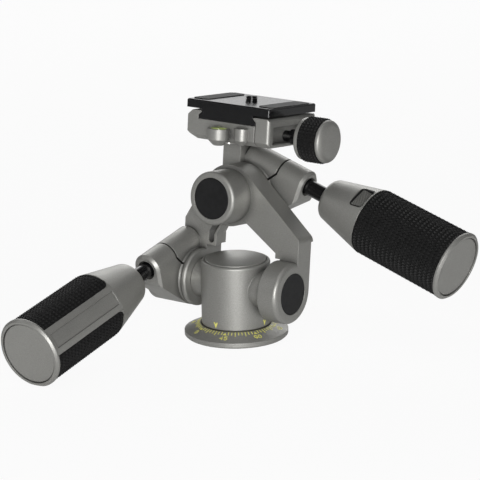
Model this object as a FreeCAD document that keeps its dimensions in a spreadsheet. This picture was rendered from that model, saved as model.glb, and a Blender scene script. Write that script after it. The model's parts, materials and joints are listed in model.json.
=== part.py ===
"""Three way pan and tilt head for a camera support, as a parametric FreeCAD document.

Lengths are millimetres and angles degrees. Z is up from the base's bottom face, the pan axis is Z,
the tilt axis lies along X and, with the arm upright, the lateral axis lies along Y. Pieces carried by
the arm are drawn with the arm upright, then leaned by rest_lean about the tilt axis.
"""
import FreeCAD, Part
import math
import os
import Sketcher
from FreeCAD import Placement, Rotation, Vector

SIZES = (
    ("run_gap", 0.05, "radial clearance of a running fit"),
    ("air_gap", 0.3, "clearance between moving pieces that do not bear on each other"),
    ("edge", 0.8, "usual edge break on a casting"),
    ("rest_lean", -6.2, "lean of the arm about the tilt axis as it stands, front side up"),
    ("base_rad", 30.0, "radius of the round base"),
    ("base_rim", 3.2, "height of the base's upright rim"),
    ("base_height", 7.0, "height of the base at its flat centre"),
    ("base_flat_reach", 1.0, "reach of the base's flat centre beyond the housing"),
    ("thread_rad", 3.97, "minor radius of the 3/8-16 tripod thread"),
    ("thread_len", 11.0, "depth of the tripod thread"),
    ("spindle_rad", 8.0, "radius of the pan spindle"),
    ("spindle_room", 3.9, "room between the pan spindle and the tilt shaft above it"),
    ("flange_rad", 12.5, "radius of the spindle's flange"),
    ("flange_thick", 2.5, "thickness of the spindle's flange"),
    ("flange_screw_circle", 10.3, "radius of the circle of flange screws"),
    ("flange_screw_rad", 1.25, "radius of a flange screw"),
    ("washer_reach", 0.6, "reach of the friction washer beyond the housing"),
    ("washer_bore", 14.0, "bore radius of the friction washer"),
    ("washer_thick", 0.5, "thickness of the friction washer"),
    ("pan_rad", 20.0, "radius of the pan housing"),
    ("housing_rise", 15.2, "height of the housing's cap above the tilt axis"),
    ("pan_round", 1.4, "rounding of the pan housing's top edge"),
    ("pan_hollow", 12.5, "radius of the housing's hollow"),
    ("cap_margin", 2.3, "distance of the top cap's edge from the housing's side"),
    ("cap_gap", 0.45, "groove between the housing's top and its cap"),
    ("cap_thick", 1.5, "thickness of the housing's top cap"),
    ("cap_proud", 0.6, "height of the top cap above the housing's rim"),
    ("bush_wall", 2.5, "wall of the bushes"),
    ("trunnion_rad", 11.3, "radius of the trunnions on the housing"),
    ("collar_rad", 12.2, "radius of the right trunnion's thrust collar"),
    ("tilt_height", 30.0, "height of the tilt axis"),
    ("shaft_rad", 8.0, "radius of the tilt and lateral shafts"),
    ("arm_inner", 24.2, "distance from the pan axis to the arm's inner faces"),
    ("boss_inner", 27.4, "distance from the pan axis to the right boss's inner face"),
    ("boss_rad", 17.6, "radius of the arm's right boss"),
    ("boss_end", 39.9, "distance from the pan axis to the right boss's end face"),
    ("boss_round", 2.6, "rounding of the right boss's outer edge"),
    ("cover_rad", 12.0, "radius of the round end covers"),
    ("cover_thick", 1.6, "thickness of the round end covers"),
    ("cover_pit", 5.0, "depth of the recess behind a round end cover"),
    ("end_washer_rad", 11.0, "radius of the washer on a shaft's end"),
    ("end_washer_thick", 1.2, "thickness of the washer on a shaft's end"),
    ("end_screw_rad", 2.5, "radius of a shaft end screw"),
    ("end_screw_head", 4.25, "head radius of a shaft end screw"),
    ("end_screw_len", 12.0, "length of a shaft end screw below its head"),
    ("arm_front", 3.2, "front face of the arm's plate, behind the tilt axis"),
    ("head_x", -10.0, "lateral axis, sideways from the pan axis"),
    ("arm_rise", 49.6, "height of the lateral axis above the tilt axis, arm upright"),
    ("head_rad", 17.9, "radius of the arm's round head"),
    ("limb_slope", 40.6, "fall of the right limb's outer edge, from level"),
    ("limb_round", 4.5, "rounding where the right limb's outer edge meets the leg"),
    ("limb_in_slope", 33.8, "fall of the right limb's inner edge, from level"),
    ("limb_in_drop", 28.7, "depth below the lateral axis where the right limb's inner edge meets the leg"),
    ("left_lean", 30.3, "lean of the left limb's outer edge, from upright"),
    ("left_out", 40.5, "distance from the pan axis to the left limb's outer face"),
    ("left_in", 17.7, "distance from the pan axis to the left limb's inner face"),
    ("left_in_drop", 24.1, "depth below the lateral axis where the left limb's inner edge starts to slope"),
    ("left_in_tall", 6.6, "height of the left limb's upright inner edge"),
    ("web_back", 8.2, "back face of the thin web beside the slot, behind the tilt axis"),
    ("slot_wide", 3.8, "width of the slot in the left limb"),
    ("slot_wall", 1.5, "wall beside the slot in the left limb"),
    ("slot_deep", 9.0, "depth of the slot in the left limb"),
    ("barrel_rad", 15.6, "radius of the barrel in front of the arm's head"),
    ("barrel_reach", 14.3, "reach of the barrel in front of the tilt axis"),
    ("barrel_hollow", 10.6, "radius of the barrel's hollow"),
    ("barrel_floor", 4.2, "wall between the barrel's hollow and the arm's plate"),
    ("nut_flats", 15.0, "width across flats of the lateral shaft's nut"),
    ("nut_thick", 5.0, "thickness of the lateral shaft's nut"),
    ("stub_rad", 5.0, "radius of the lateral shaft's threaded stub"),
    ("stub_len", 9.0, "length of the lateral shaft's threaded stub"),
    ("ring_rad", 16.9, "outer radius of a pinch clamp's ring"),
    ("ring_len", 29.2, "length of a pinch clamp's ring along its shaft"),
    ("ring_flange", 3.1, "width of the unsplit flange at the ring's near end"),
    ("ring_groove", 0.9, "width and depth of the groove beside the flange"),
    ("grip_plane", 13.7, "distance from the ring's near end to the handle's axis"),
    ("grip_rise", 17.0, "distance from the shaft's axis to the handle's axis"),
    ("knuckle_rad", 9.0, "radius of the clamp's barrel round the handle's rod"),
    ("knuckle_end", 32.0, "distance from the shaft to the knuckle's front face"),
    ("knuckle_low", 8.0, "height of the knuckle's front lower corner above the shaft"),
    ("knuckle_back", 10.0, "reach of the clamp's barrel behind the shaft"),
    ("knuckle_edge", 1.6, "chamfer round the knuckle's front face"),
    ("slit_wide", 1.2, "width of the slit that lets the clamp close"),
    ("slit_out", 14.0, "distance of the slit's outer stretch from the shaft"),
    ("slit_turn", 18.0, "height above the shaft where the slit turns in to it"),
    ("left_droop", 17.8, "fall of the left handle below level with the arm upright"),
    ("right_droop", 17.1, "fall of the right handle below level with the arm upright"),
    ("rod_rad", 4.6, "radius of a handle's rod"),
    ("rod_mouth", 5.7, "radius of the clamp's mouth round the rod"),
    ("neck_in", 4.0, "near face of the platform's neck, left of the lateral axis"),
    ("neck_out", 16.2, "far face of the platform's neck, left of the lateral axis"),
    ("foot_reach", 6.0, "front edge of the flange under the clamp body"),
    ("foot_left", 13.5, "reach of that flange left of the lateral axis"),
    ("foot_thick", 3.0, "thickness of the flange under the clamp body"),
    ("foot_right", 22.0, "reach of that flange right of the lateral axis"),
    ("neck_rise", 33.4, "height of the clamp body's bottom above the lateral axis"),
    ("lip_rise", 16.5, "height of the clamp body's lips above its bottom"),
    ("floor_rise", 11.7, "height of the dovetail channel's floor above the body's bottom"),
    ("deck_y", 6.6, "middle of the plate behind the tilt axis"),
    ("deck_edge", 2.8, "chamfer under the front of the clamp body and jaw"),
    ("deck_len", 46.8, "length of the clamp body and plate along the channel"),
    ("fixed_jaw", 9.6, "thickness of the fixed jaw at its lip"),
    ("split_in", 0.5, "distance of the jaw's seam inside the dovetail's foot"),
    ("jaw_thick", 9.8, "thickness of the sliding jaw from its seam"),
    ("jaw_seam", 0.6, "open seam between the clamp body and the sliding jaw"),
    ("jaw_round", 2.0, "rounding of the jaw's outer corners"),
    ("jaw_web", 4.6, "wall of the sliding jaw behind its recess"),
    ("jaw_pillar", 4.4, "thickness of the sliding jaw's end pillars"),
    ("tail_top", 17.6, "half width of the dovetail at its neck"),
    ("tail_flare", 2.1, "widening of the dovetail from its neck to its foot, each side"),
    ("tail_lip", 1.7, "height of the dovetail's upright foot"),
    ("plate_wide", 57.2, "width of the camera plate"),
    ("plate_thick", 4.8, "thickness of the camera plate's flange"),
    ("plate_round", 1.0, "rounding of the camera plate's corners"),
    ("plate_edge", 0.7, "chamfer round the top of the camera plate"),
    ("plate_gap", 1.1, "gap between the body's lips and the camera plate's flange"),
    ("pad_wide", 10.4, "width of a rubber pad"),
    ("pad_margin", 4.4, "distance of a rubber pad's end from the plate's front or back"),
    ("pad_inset", 6.0, "distance of a pad's middle from the plate's side"),
    ("pad_thick", 0.9, "thickness of a rubber pad"),
    ("pad_sink", 0.5, "depth of a rubber pad's seat"),
    ("stud_rad", 3.175, "radius of the 1/4-20 camera screw"),
    ("stud_rise", 3.0, "height of the camera screw above the plate"),
    ("stud_neck", 2.6, "radius of the camera screw's relieved shank"),
    ("stud_head", 7.0, "head radius of the camera screw"),
    ("stud_head_thick", 3.0, "head thickness of the camera screw"),
    ("lug_x", -3.1, "middle of the level's lug, sideways"),
    ("lug_out", 3.0, "distance of the lug's middle in front of the clamp body"),
    ("lug_rad", 6.3, "radius of the level's lug"),
    ("lug_taper", 3.4, "height and depth of the taper under the level's lug"),
    ("lug_drop", 1.2, "reach of the level's lug below the clamp body"),
    ("lug_rise", 8.3, "height of the level's lug above the body's bottom"),
    ("vial_rad", 4.7, "radius of the round level"),
    ("vial_deep", 3.4, "depth of the round level"),
    ("bump_x", 10.9, "middle of the small boss beside the level, sideways"),
    ("bump_rad", 4.2, "radius of the small boss beside the level"),
    ("bump_rise", 9.6, "height of the small boss above the body's bottom"),
    ("knob_rise", 5.3, "height of the jaw knob's axis above the body's bottom"),
    ("knob_rad", 12.7, "radius of the jaw knob's ring"),
    ("knob_stand", 8.4, "distance of the jaw knob from the sliding jaw"),
    ("knob_flange", 2.9, "width of the jaw knob's inner flange"),
    ("knob_ring", 11.6, "width of the jaw knob's ring"),
    ("knob_cap", 3.7, "width of the jaw knob's end cap"),
    ("stem_rad", 4.3, "radius of the jaw knob's stem"),
    ("jaw_screw_rad", 2.5, "radius of the jaw screw"),
    ("pin_rad", 2.0, "radius of a jaw guide pin"),
    ("pin_spread", 15.0, "distance of a guide pin from the jaw screw"),
    ("lock_drop", 3.1, "depth of the pan lock's axis below the pan spindle's top"),
    ("lock_knob_rad", 7.2, "radius of the pan lock knob"),
    ("lock_knob_len", 9.6, "length of the pan lock knob"),
    ("lock_screw_rad", 2.0, "radius of the pan lock screw"),
    ("nose_start", 47.0, "distance from the shaft to the handle's nose"),
    ("nose_len", 31.5, "length of the handle's nose, up to the rubber"),
    ("grip_len", 57.5, "length of the rubber"),
    ("rim_len", 2.6, "length of the rim behind the rubber"),
    ("rubber_thick", 2.0, "thickness of the rubber at its front"),
    ("grip_front_rad", 19.3, "radius of the grip at the front of the rubber"),
    ("grip_back_rad", 19.6, "radius of the grip at the back of the rubber"),
    ("rim_proud", 0.6, "height of the rim above the rubber's back"),
    ("core_hollow", 13.4, "radius of the handle's hollow"),
    ("rib_angle", 47.0, "angle taken by the bare rib between the rubber's edges"),
    ("field_angle", 25.0, "angle taken by the shallow name field on the rib"),
    ("field_deep", 0.4, "depth of the name field"),
    ("nose_rad", 12.5, "radius of the nose's front shoulder"),
    ("window_len", 10.1, "distance of the window's front from the rubber"),
    ("window_wide", 14.4, "width of the nose's window"),
    ("window_floor", 14.9, "distance of the window's floor from the handle's axis"),
    ("end_disc_rad", 17.4, "radius of the disc in the handle's end"),
    ("left_twist", 62.0, "turn of the left handle's rib from its top, towards the right"),
    ("right_twist", 217.0, "turn of the right handle's rib from its top, towards the front"),
)

doc = FreeCAD.newDocument("PanTiltHead")
sheet = doc.addObject("Spreadsheet::Sheet", "Sizes")


class Size:
    """A length or angle: what it measures, and the sheet expression that works it out."""

    def __init__(self, value, text):
        self.value = value
        self.text = text

    def __add__(self, other):
        other = as_size(other)
        return Size(self.value + other.value, f"({self.text} + {other.text})")

    def __sub__(self, other):
        other = as_size(other)
        return Size(self.value - other.value, f"({self.text} - {other.text})")

    def __mul__(self, other):
        other = as_size(other)
        return Size(self.value * other.value, f"({self.text} * {other.text})")

    def __truediv__(self, other):
        other = as_size(other)
        return Size(self.value / other.value, f"({self.text} / {other.text})")

    def __neg__(self):
        return Size(-self.value, f"(0 - {self.text})")

    def __radd__(self, other):
        return as_size(other) + self

    def __rsub__(self, other):
        return as_size(other) - self

    def __rmul__(self, other):
        return as_size(other) * self


class Dimensions:
    """Every size in the sheet, by its alias."""


def as_size(number):
    return number if isinstance(number, Size) else Size(float(number), f"({float(number)})")


def sine(angle):
    return Size(math.sin(math.radians(angle.value)), f"sin({angle.text} * 1 deg)")


def cosine(angle):
    return Size(math.cos(math.radians(angle.value)), f"cos({angle.text} * 1 deg)")


def root(number):
    return Size(math.sqrt(number.value), f"sqrt({number.text})")


def angle_of(opposite, adjacent):
    slope = opposite / adjacent
    return Size(math.degrees(math.atan(slope.value)), f"(atan({slope.text}) / 1 deg)")


def angle_with_cosine(ratio):
    return Size(math.degrees(math.acos(ratio.value)), f"(acos({ratio.text}) / 1 deg)")


def fill_sheet():
    """Write each size into the sheet with its alias and its meaning."""
    sizes = Dimensions()
    for row, (alias, value, meaning) in enumerate(SIZES, start=1):
        sheet.set(f"A{row}", meaning)
        sheet.set(f"B{row}", str(value))
        sheet.setAlias(f"B{row}", alias)
        setattr(sizes, alias, Size(value, f"Sizes.{alias}"))
    doc.recompute()
    add_derived(sizes)
    return sizes


def add_derived(sizes):
    """Heights and distances that follow from the driving sizes."""
    sizes.spindle_top = sizes.tilt_height - sizes.shaft_rad - sizes.spindle_room
    sizes.lock_height = sizes.spindle_top - sizes.lock_drop
    sizes.washer_rad = sizes.pan_rad + sizes.washer_reach
    sizes.base_flat_rad = sizes.pan_rad + sizes.base_flat_reach
    sizes.pan_top = sizes.tilt_height + sizes.housing_rise
    sizes.cap_rad = sizes.pan_rad - sizes.cap_margin
    sizes.head_height = sizes.tilt_height + sizes.arm_rise
    sizes.limb_in_height = sizes.head_height - sizes.limb_in_drop
    sizes.left_in_height = sizes.head_height - sizes.left_in_drop
    sizes.left_in_low = sizes.left_in_height - sizes.left_in_tall
    add_platform_levels(sizes)
    sizes.nose_end = sizes.nose_start + sizes.nose_len
    sizes.grip_end = sizes.nose_end + sizes.grip_len
    sizes.handle_end = sizes.grip_end + sizes.rim_len
    sizes.window_start = sizes.nose_end - sizes.window_len
    sizes.core_rad = sizes.grip_front_rad - sizes.rubber_thick
    sizes.handle_rim_rad = sizes.grip_back_rad + sizes.rim_proud


def add_platform_levels(sizes):
    """Levels of the clamp body, jaw, plate and knob, each from the piece that carries it."""
    sizes.deck_height = sizes.head_height + sizes.neck_rise
    sizes.deck_top = sizes.deck_height + sizes.lip_rise
    sizes.deck_floor = sizes.deck_height + sizes.floor_rise
    sizes.tail_foot = sizes.tail_top + sizes.tail_flare
    sizes.jaw_left = sizes.tail_top + sizes.fixed_jaw
    sizes.jaw_split = sizes.tail_foot - sizes.split_in
    sizes.jaw_right = sizes.jaw_split + sizes.jaw_thick
    sizes.plate_top = sizes.deck_top + sizes.plate_gap + sizes.plate_thick
    sizes.pad_len = sizes.deck_len - sizes.pad_margin * 2
    sizes.pad_x = sizes.plate_wide / 2 - sizes.pad_inset
    sizes.lug_low = sizes.deck_height - sizes.lug_drop
    sizes.lug_top = sizes.deck_height + sizes.lug_rise
    sizes.bump_top = sizes.deck_height + sizes.bump_rise
    sizes.knob_height = sizes.deck_height + sizes.knob_rise
    sizes.knob_start = sizes.jaw_right + sizes.knob_stand


d = fill_sheet()
TWICE = as_size(2.0)


# ---------------------------------------------------------------- sketches and features

def origin_plane(body, role):
    return next(feature for feature in body.Origin.OriginFeatures if feature.Role == role)


def bind(thing, path, size):
    thing.setExpression(path, as_size(size).text)


def new_body(label):
    body = doc.addObject("PartDesign::Body", label)
    body.Label = label
    return body


def sketch_on(body, name, plane="XY_Plane", level=0):
    """A sketch parallel to one of the body's own planes, level above it along the plane's normal."""
    sketch = body.newObject("Sketcher::SketchObject", f"{body.Name}_{name}_sketch")
    sketch.AttachmentSupport = [(origin_plane(body, plane), "")]
    sketch.MapMode = "FlatFace"
    bind(sketch, "AttachmentOffset.Base.z", level)
    return sketch


def sketch_at(body, name, place):
    """A sketch whose own frame is place, in the body's frame."""
    sketch = body.newObject("Sketcher::SketchObject", f"{body.Name}_{name}_sketch")
    sketch.AttachmentSupport = [(origin_plane(body, "XY_Plane"), "")]
    sketch.MapMode = "FlatFace"
    sketch.AttachmentOffset = place
    return sketch


def fix_point(sketch, geometry, end, across, along):
    """Tie a point to its distances from the sketch's origin."""
    for kind, distance in (("DistanceX", as_size(across)), ("DistanceY", as_size(along))):
        constraint = Sketcher.Constraint(kind, -1, 1, geometry, end, distance.value)
        index = sketch.addConstraint(constraint)
        bind(sketch, f"Constraints[{index}]", distance)


def arc_between(start, finish, radius):
    """The shorter arc from start to finish, counter-clockwise, as a circle and two angles."""
    middle = (start + finish) * 0.5
    chord = finish - start
    rise = math.sqrt(max(radius * radius - chord.Length ** 2 / 4, 0.0))
    left = Vector(-chord.y, chord.x, 0).normalize()
    centre = middle + left * rise
    first = math.atan2(start.y - centre.y, start.x - centre.x)
    last = math.atan2(finish.y - centre.y, finish.x - centre.x)
    if last <= first:
        last += 2 * math.pi
    return Part.ArcOfCircle(Part.Circle(centre, Vector(0, 0, 1), radius), first, last)


def add_outline(sketch, corners):
    """Close an outline through corners (across, along) or (across, along, radius).

    The side that leaves a corner with a radius is an arc: a positive radius turns it
    counter-clockwise to the next corner, a negative one clockwise.
    """
    first = sketch.GeometryCount
    count = len(corners)
    points = [Vector(as_size(c[0]).value, as_size(c[1]).value, 0) for c in corners]
    starts = []
    for index, corner in enumerate(corners):
        start = points[index]
        finish = points[(index + 1) % count]
        radius = as_size(corner[2]).value if len(corner) == 3 else 0.0
        if radius > 0:
            sketch.addGeometry(arc_between(start, finish, radius), False)
        elif radius < 0:
            sketch.addGeometry(arc_between(finish, start, -radius), False)
        else:
            sketch.addGeometry(Part.LineSegment(start, finish), False)
        starts.append(2 if radius < 0 else 1)
    for index, corner in enumerate(corners):
        following = (index + 1) % count
        ends = Sketcher.Constraint("Coincident", first + index, 3 - starts[index],
                                   first + following, starts[following])
        sketch.addConstraint(ends)
    for index, corner in enumerate(corners):
        fix_point(sketch, first + index, starts[index], corner[0], corner[1])
        if len(corner) == 3:
            radius = as_size(corner[2])
            radius = -radius if radius.value < 0 else radius
            number = sketch.addConstraint(Sketcher.Constraint("Radius", first + index, radius.value))
            bind(sketch, f"Constraints[{number}]", radius)


def add_circle(sketch, across, along, radius):
    radius = as_size(radius)
    centre = Vector(as_size(across).value, as_size(along).value, 0)
    index = sketch.addGeometry(Part.Circle(centre, Vector(0, 0, 1), radius.value), False)
    fix_point(sketch, index, 3, across, along)
    number = sketch.addConstraint(Sketcher.Constraint("Radius", index, radius.value))
    bind(sketch, f"Constraints[{number}]", radius)


def add_pad(body, sketch, length):
    """Add material from the sketch along its normal."""
    pad = body.newObject("PartDesign::Pad", sketch.Name.replace("_sketch", "_pad"))
    pad.Profile = sketch
    bind(pad, "Length", length)
    return pad


def add_pocket(body, sketch, length):
    """Take material away from the sketch along its normal."""
    pocket = body.newObject("PartDesign::Pocket", sketch.Name.replace("_sketch", "_pocket"))
    pocket.Profile = sketch
    pocket.Reversed = True
    bind(pocket, "Length", length)
    return pocket


def add_turning(body, sketch, angle=360.0, kind="Revolution"):
    """Turn the sketch about its own upright axis, to add material or, as a Groove, to take it away."""
    turning = body.newObject(f"PartDesign::{kind}", sketch.Name.replace("_sketch", "_turning"))
    turning.Profile = sketch
    turning.ReferenceAxis = (sketch, ["V_Axis"])
    turning.Midplane = True
    bind(turning, "Angle", angle)
    return turning


def edge_names(feature, wanted):
    return [f"Edge{number}" for number, edge in enumerate(feature.Shape.Edges, start=1) if wanted(edge)]


def add_fillet(body, name, base, wanted, radius):
    doc.recompute()
    fillet = body.newObject("PartDesign::Fillet", f"{body.Name}_{name}")
    fillet.Base = (base, edge_names(base, wanted))
    bind(fillet, "Radius", radius)
    return fillet


def add_chamfer(body, name, base, wanted, size):
    doc.recompute()
    chamfer = body.newObject("PartDesign::Chamfer", f"{body.Name}_{name}")
    chamfer.Base = (base, edge_names(base, wanted))
    bind(chamfer, "Size", size)
    return chamfer


def lies_at(direction, level):
    """A test for edges that lie in the plane at level along direction."""
    def test(edge):
        points = [vertex.Point for vertex in edge.Vertexes] + [edge.valueAt(edge.FirstParameter)]
        points.append(edge.valueAt((edge.FirstParameter + edge.LastParameter) / 2))
        return all(abs(point.dot(direction) - level) < 1e-4 for point in points)
    return test


def turned_body(label, corners, angle=360.0):
    """A body turned about its own Z from corners (radius, height)."""
    body = new_body(label)
    sketch = sketch_on(body, "section", "XZ_Plane")
    add_outline(sketch, corners)
    add_turning(body, sketch, angle)
    return body


def ring_corners(bore, rad, low, high):
    return [(bore, low), (rad, low), (rad, high), (bore, high)]


def disc_corners(rad, low, high, chamfer):
    return [(0, low), (rad, low), (rad, high - chamfer), (rad - chamfer, high), (0, high)]


# ---------------------------------------------------------------- frames

X_AXIS = Vector(1, 0, 0)
Y_AXIS = Vector(0, 1, 0)
Z_AXIS = Vector(0, 0, 1)


def frame_of(origin, across, along, normal):
    return Placement(origin, Rotation(across, along, normal, "ZXY"))


def lean():
    """The arm's lean about the tilt axis, as it stands."""
    centre = Vector(0, 0, d.tilt_height.value)
    return Placement(Vector(0, 0, 0), Rotation(X_AXIS, d.rest_lean.value), centre)


def pointing(start, direction):
    """A piece's own Z laid along direction, with its origin at start."""
    return Placement(start, Rotation(Z_AXIS, direction))


ARM = lean()
SHAFT_RIGHT = pointing(Vector(0, 0, d.tilt_height.value), X_AXIS)
SHAFT_LEFT = pointing(Vector(0, 0, d.tilt_height.value), -X_AXIS)
HEAD = Vector(d.head_x.value, 0, d.head_height.value)
LATERAL_BACK = pointing(HEAD, Y_AXIS)
LATERAL_FRONT = pointing(HEAD, -Y_AXIS)
KNOB_AXIS = pointing(Vector(0, d.deck_y.value, d.knob_height.value), X_AXIS)

arm_back = d.boss_rad
ring_near = arm_back + d.air_gap
ring_far_x = d.arm_inner + d.ring_len
ring_far_y = ring_near + d.ring_len
deck_front = d.deck_y - d.deck_len / TWICE
deck_back = d.deck_y + d.deck_len / TWICE


class PinchClamp:
    """The frame of a pinch clamp: X along the level handle direction, Y up, Z along the shaft.

    The ring starts at the origin and runs to side * Z.
    """

    def __init__(self, origin, across, side, droop):
        self.base = frame_of(origin, across, Z_AXIS, across.cross(Z_AXIS))
        self.side = side
        self.drooped = self.base.multiply(Placement(Vector(0, 0, 0), Rotation(Z_AXIS, -droop.value)))

    def section(self, low, high):
        """A frame for outlines square to the shaft, at the lower end of low to high along the ring."""
        start = min(self.side * low.value, self.side * high.value)
        return self.drooped.multiply(Placement(Vector(0, 0, start), Rotation()))

    def upright(self):
        """A frame for outlines that hold the shaft's axis as their upright axis."""
        turn = Rotation(Y_AXIS, Z_AXIS * self.side, X_AXIS * self.side, "ZXY")
        return self.base.multiply(Placement(Vector(0, 0, 0), turn))

    def along_handle(self, start):
        """A frame whose Z runs out along the handle's axis, start from the shaft."""
        point = Vector(start, d.grip_rise.value, self.side * d.grip_plane.value)
        return self.drooped.multiply(Placement(point, Rotation(Y_AXIS, 90)))


LEFT_CLAMP = PinchClamp(Vector(-d.arm_inner.value, 0, d.tilt_height.value), -Y_AXIS, 1, d.left_droop)
RIGHT_CLAMP = PinchClamp(Vector(d.head_x.value, ring_near.value, d.head_height.value), X_AXIS, -1,
                         d.right_droop)


# ---------------------------------------------------------------- base and pan spindle

def make_base_disc():
    """Round base: upright rim, sloping top, and a seat for the spindle's flange."""
    rim = d.edge
    return turned_body("base_disc", [
        (d.spindle_rad, 0), (d.base_rad - rim, 0), (d.base_rad, rim), (d.base_rad, d.base_rim),
        (d.base_flat_rad, d.base_height), (d.flange_rad, d.base_height),
        (d.flange_rad, d.base_height - d.flange_thick), (d.spindle_rad, d.base_height - d.flange_thick),
    ])


def make_pan_spindle():
    """Steel spindle: the tripod thread below, a flange on the base, a tapped end above."""
    flange_low = d.base_height - d.flange_thick
    tapped_from = d.thread_len + 2.0
    body = turned_body("pan_spindle", [
        (d.thread_rad, 0), (d.spindle_rad, 0), (d.spindle_rad, flange_low), (d.flange_rad, flange_low),
        (d.flange_rad, d.base_height), (d.spindle_rad, d.base_height), (d.spindle_rad, d.spindle_top),
        (d.end_screw_rad, d.spindle_top), (d.end_screw_rad, tapped_from), (0, tapped_from),
        (0, d.thread_len), (d.thread_rad, d.thread_len),
    ])
    holes = sketch_on(body, "holes", "XY_Plane", flange_low)
    for turn in range(3):
        spot = ring_spot(d.flange_screw_circle, turn, 3)
        add_circle(holes, spot[0], spot[1], d.flange_screw_rad)
    add_pocket(body, holes, d.flange_thick)
    return body


def ring_spot(radius, turn, count):
    """The centre of one of count holes spaced round a circle."""
    angle = as_size(360.0 * turn / count)
    return radius * cosine(angle), radius * sine(angle)


def make_flange_screws():
    """Three countersunk screws that hold the spindle to the base."""
    body = new_body("flange_screws")
    sketch = sketch_on(body, "screws", "XY_Plane", d.base_height - d.flange_thick)
    for turn in range(3):
        spot = ring_spot(d.flange_screw_circle, turn, 3)
        add_circle(sketch, spot[0], spot[1], d.flange_screw_rad)
    add_pad(body, sketch, d.flange_thick)
    return body


def make_friction_washer():
    low = d.base_height
    return turned_body("pan_friction_washer",
                       ring_corners(d.washer_bore, d.washer_rad, low, low + d.washer_thick))


def make_pan_retainer():
    """Washer and screw on top of the spindle, which hold the housing down."""
    low = d.spindle_top
    high = low + d.end_washer_thick
    head_high = high + 2.2
    washer = turned_body("pan_retaining_washer", ring_corners(d.end_screw_rad, d.end_washer_rad, low, high))
    screw = turned_body("pan_retaining_screw", [
        (0, d.thread_len + 2.5), (d.end_screw_rad, d.thread_len + 2.5), (d.end_screw_rad, high),
        (d.end_screw_head, high), (d.end_screw_head, head_high), (0, head_high),
    ])
    return washer, screw


# ---------------------------------------------------------------- pan housing

housing_low = d.base_height + d.washer_thick + 0.1
bush_rad = d.shaft_rad + d.run_gap + d.bush_wall


def make_pan_housing():
    """Pan housing: hollow cylinder with a trunnion each side, bored for the tilt shaft."""
    body = new_body("pan_housing")
    section = sketch_on(body, "section", "XZ_Plane")
    shelf = d.spindle_top - 0.1
    rim = d.pan_top - d.cap_proud
    cap_floor = d.pan_top - d.cap_thick
    add_outline(section, [
        (bush_rad, housing_low), (d.pan_rad, housing_low), (d.pan_rad, rim - d.pan_round, d.pan_round),
        (d.pan_rad - d.pan_round, rim), (d.cap_rad + d.cap_gap, rim), (d.cap_rad + d.cap_gap, cap_floor),
        (d.pan_hollow, cap_floor), (d.pan_hollow, shelf), (bush_rad, shelf),
    ])
    add_turning(body, section)
    reach = d.arm_inner - d.air_gap
    root_x = d.pan_hollow + 1.0
    far = d.boss_inner - d.air_gap
    for name, start, finish, radius in (
            ("left_trunnion", -reach, -root_x, d.trunnion_rad),
            ("right_trunnion", root_x, reach + 0.6, d.trunnion_rad),
            ("right_collar", reach, far, d.collar_rad)):
        trunnion = sketch_on(body, name, "YZ_Plane", start)
        add_circle(trunnion, 0, d.tilt_height, radius)
        add_pad(body, trunnion, finish - start)
    bore = sketch_on(body, "shaft_bore", "YZ_Plane", -reach)
    add_circle(bore, 0, d.tilt_height, d.shaft_rad)
    add_pocket(body, bore, reach + far)
    lock = sketch_on(body, "lock_bore", "XZ_Plane", -d.pan_rad)
    add_circle(lock, 0, d.lock_height, d.lock_screw_rad + d.run_gap)
    add_pocket(body, lock, d.pan_rad - bush_rad + 2.0)
    return body


def make_pan_bush():
    body = turned_body("pan_bush", ring_corners(d.spindle_rad + d.run_gap, bush_rad,
                                                housing_low, d.spindle_top - 0.1))
    hole = sketch_on(body, "shoe_hole", "XZ_Plane", -bush_rad)
    add_circle(hole, 0, d.lock_height, d.lock_screw_rad + d.run_gap)
    add_pocket(body, hole, d.bush_wall * 1.5)
    return body


def make_pan_top_cap():
    low = d.pan_top - d.cap_thick
    plug = d.pan_hollow - 0.1
    return turned_body("pan_top_cap", [
        (0, low), (plug - 1.5, low), (plug - 1.5, low - 2.0), (plug, low - 2.0), (plug, low),
        (d.cap_rad, low), (d.cap_rad, d.pan_top - 0.3), (d.cap_rad - 0.3, d.pan_top), (0, d.pan_top),
    ])


def make_tilt_shaft():
    """Steel shaft through the housing, tapped at both ends."""
    left = ring_far_x - d.cover_pit + 0.1
    right = d.boss_end - d.cover_pit + 0.1
    tapped = d.end_screw_len + 1.0
    body = turned_body("tilt_shaft", [
        (d.end_screw_rad, -left), (d.shaft_rad, -left), (d.shaft_rad, right), (d.end_screw_rad, right),
        (d.end_screw_rad, right - tapped), (0, right - tapped), (0, tapped - left),
        (d.end_screw_rad, tapped - left),
    ])
    body.Placement = SHAFT_RIGHT
    return body


def end_screw_corners(level):
    """A pan head screw that holds a washer on a shaft whose end is at level."""
    seat = level + d.end_washer_thick
    head = seat + 1.7
    return [
        (0, level - d.end_screw_len), (d.end_screw_rad, level - d.end_screw_len), (d.end_screw_rad, seat),
        (d.end_screw_head, seat), (d.end_screw_head, head - 0.5), (d.end_screw_head - 0.5, head), (0, head),
    ]


def end_washer_corners(level):
    return ring_corners(d.end_screw_rad, d.end_washer_rad, level, level + d.end_washer_thick)


def make_shaft_ends():
    """Washers and screws on both ends of the tilt shaft and on the lateral shaft's back end."""
    right = d.boss_end - d.cover_pit + 0.1
    left = ring_far_x - d.cover_pit + 0.1
    back = ring_far_y - d.cover_pit + 0.1
    pieces = []
    for side, level, frame in (("right", right, SHAFT_RIGHT), ("left", left, SHAFT_LEFT),
                               ("lateral", back, ARM.multiply(LATERAL_BACK))):
        for kind, corners in (("washer", end_washer_corners(level)), ("screw", end_screw_corners(level))):
            piece = turned_body(f"{side}_shaft_{kind}", corners)
            piece.Placement = frame
            pieces.append(piece)
    return pieces


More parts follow.
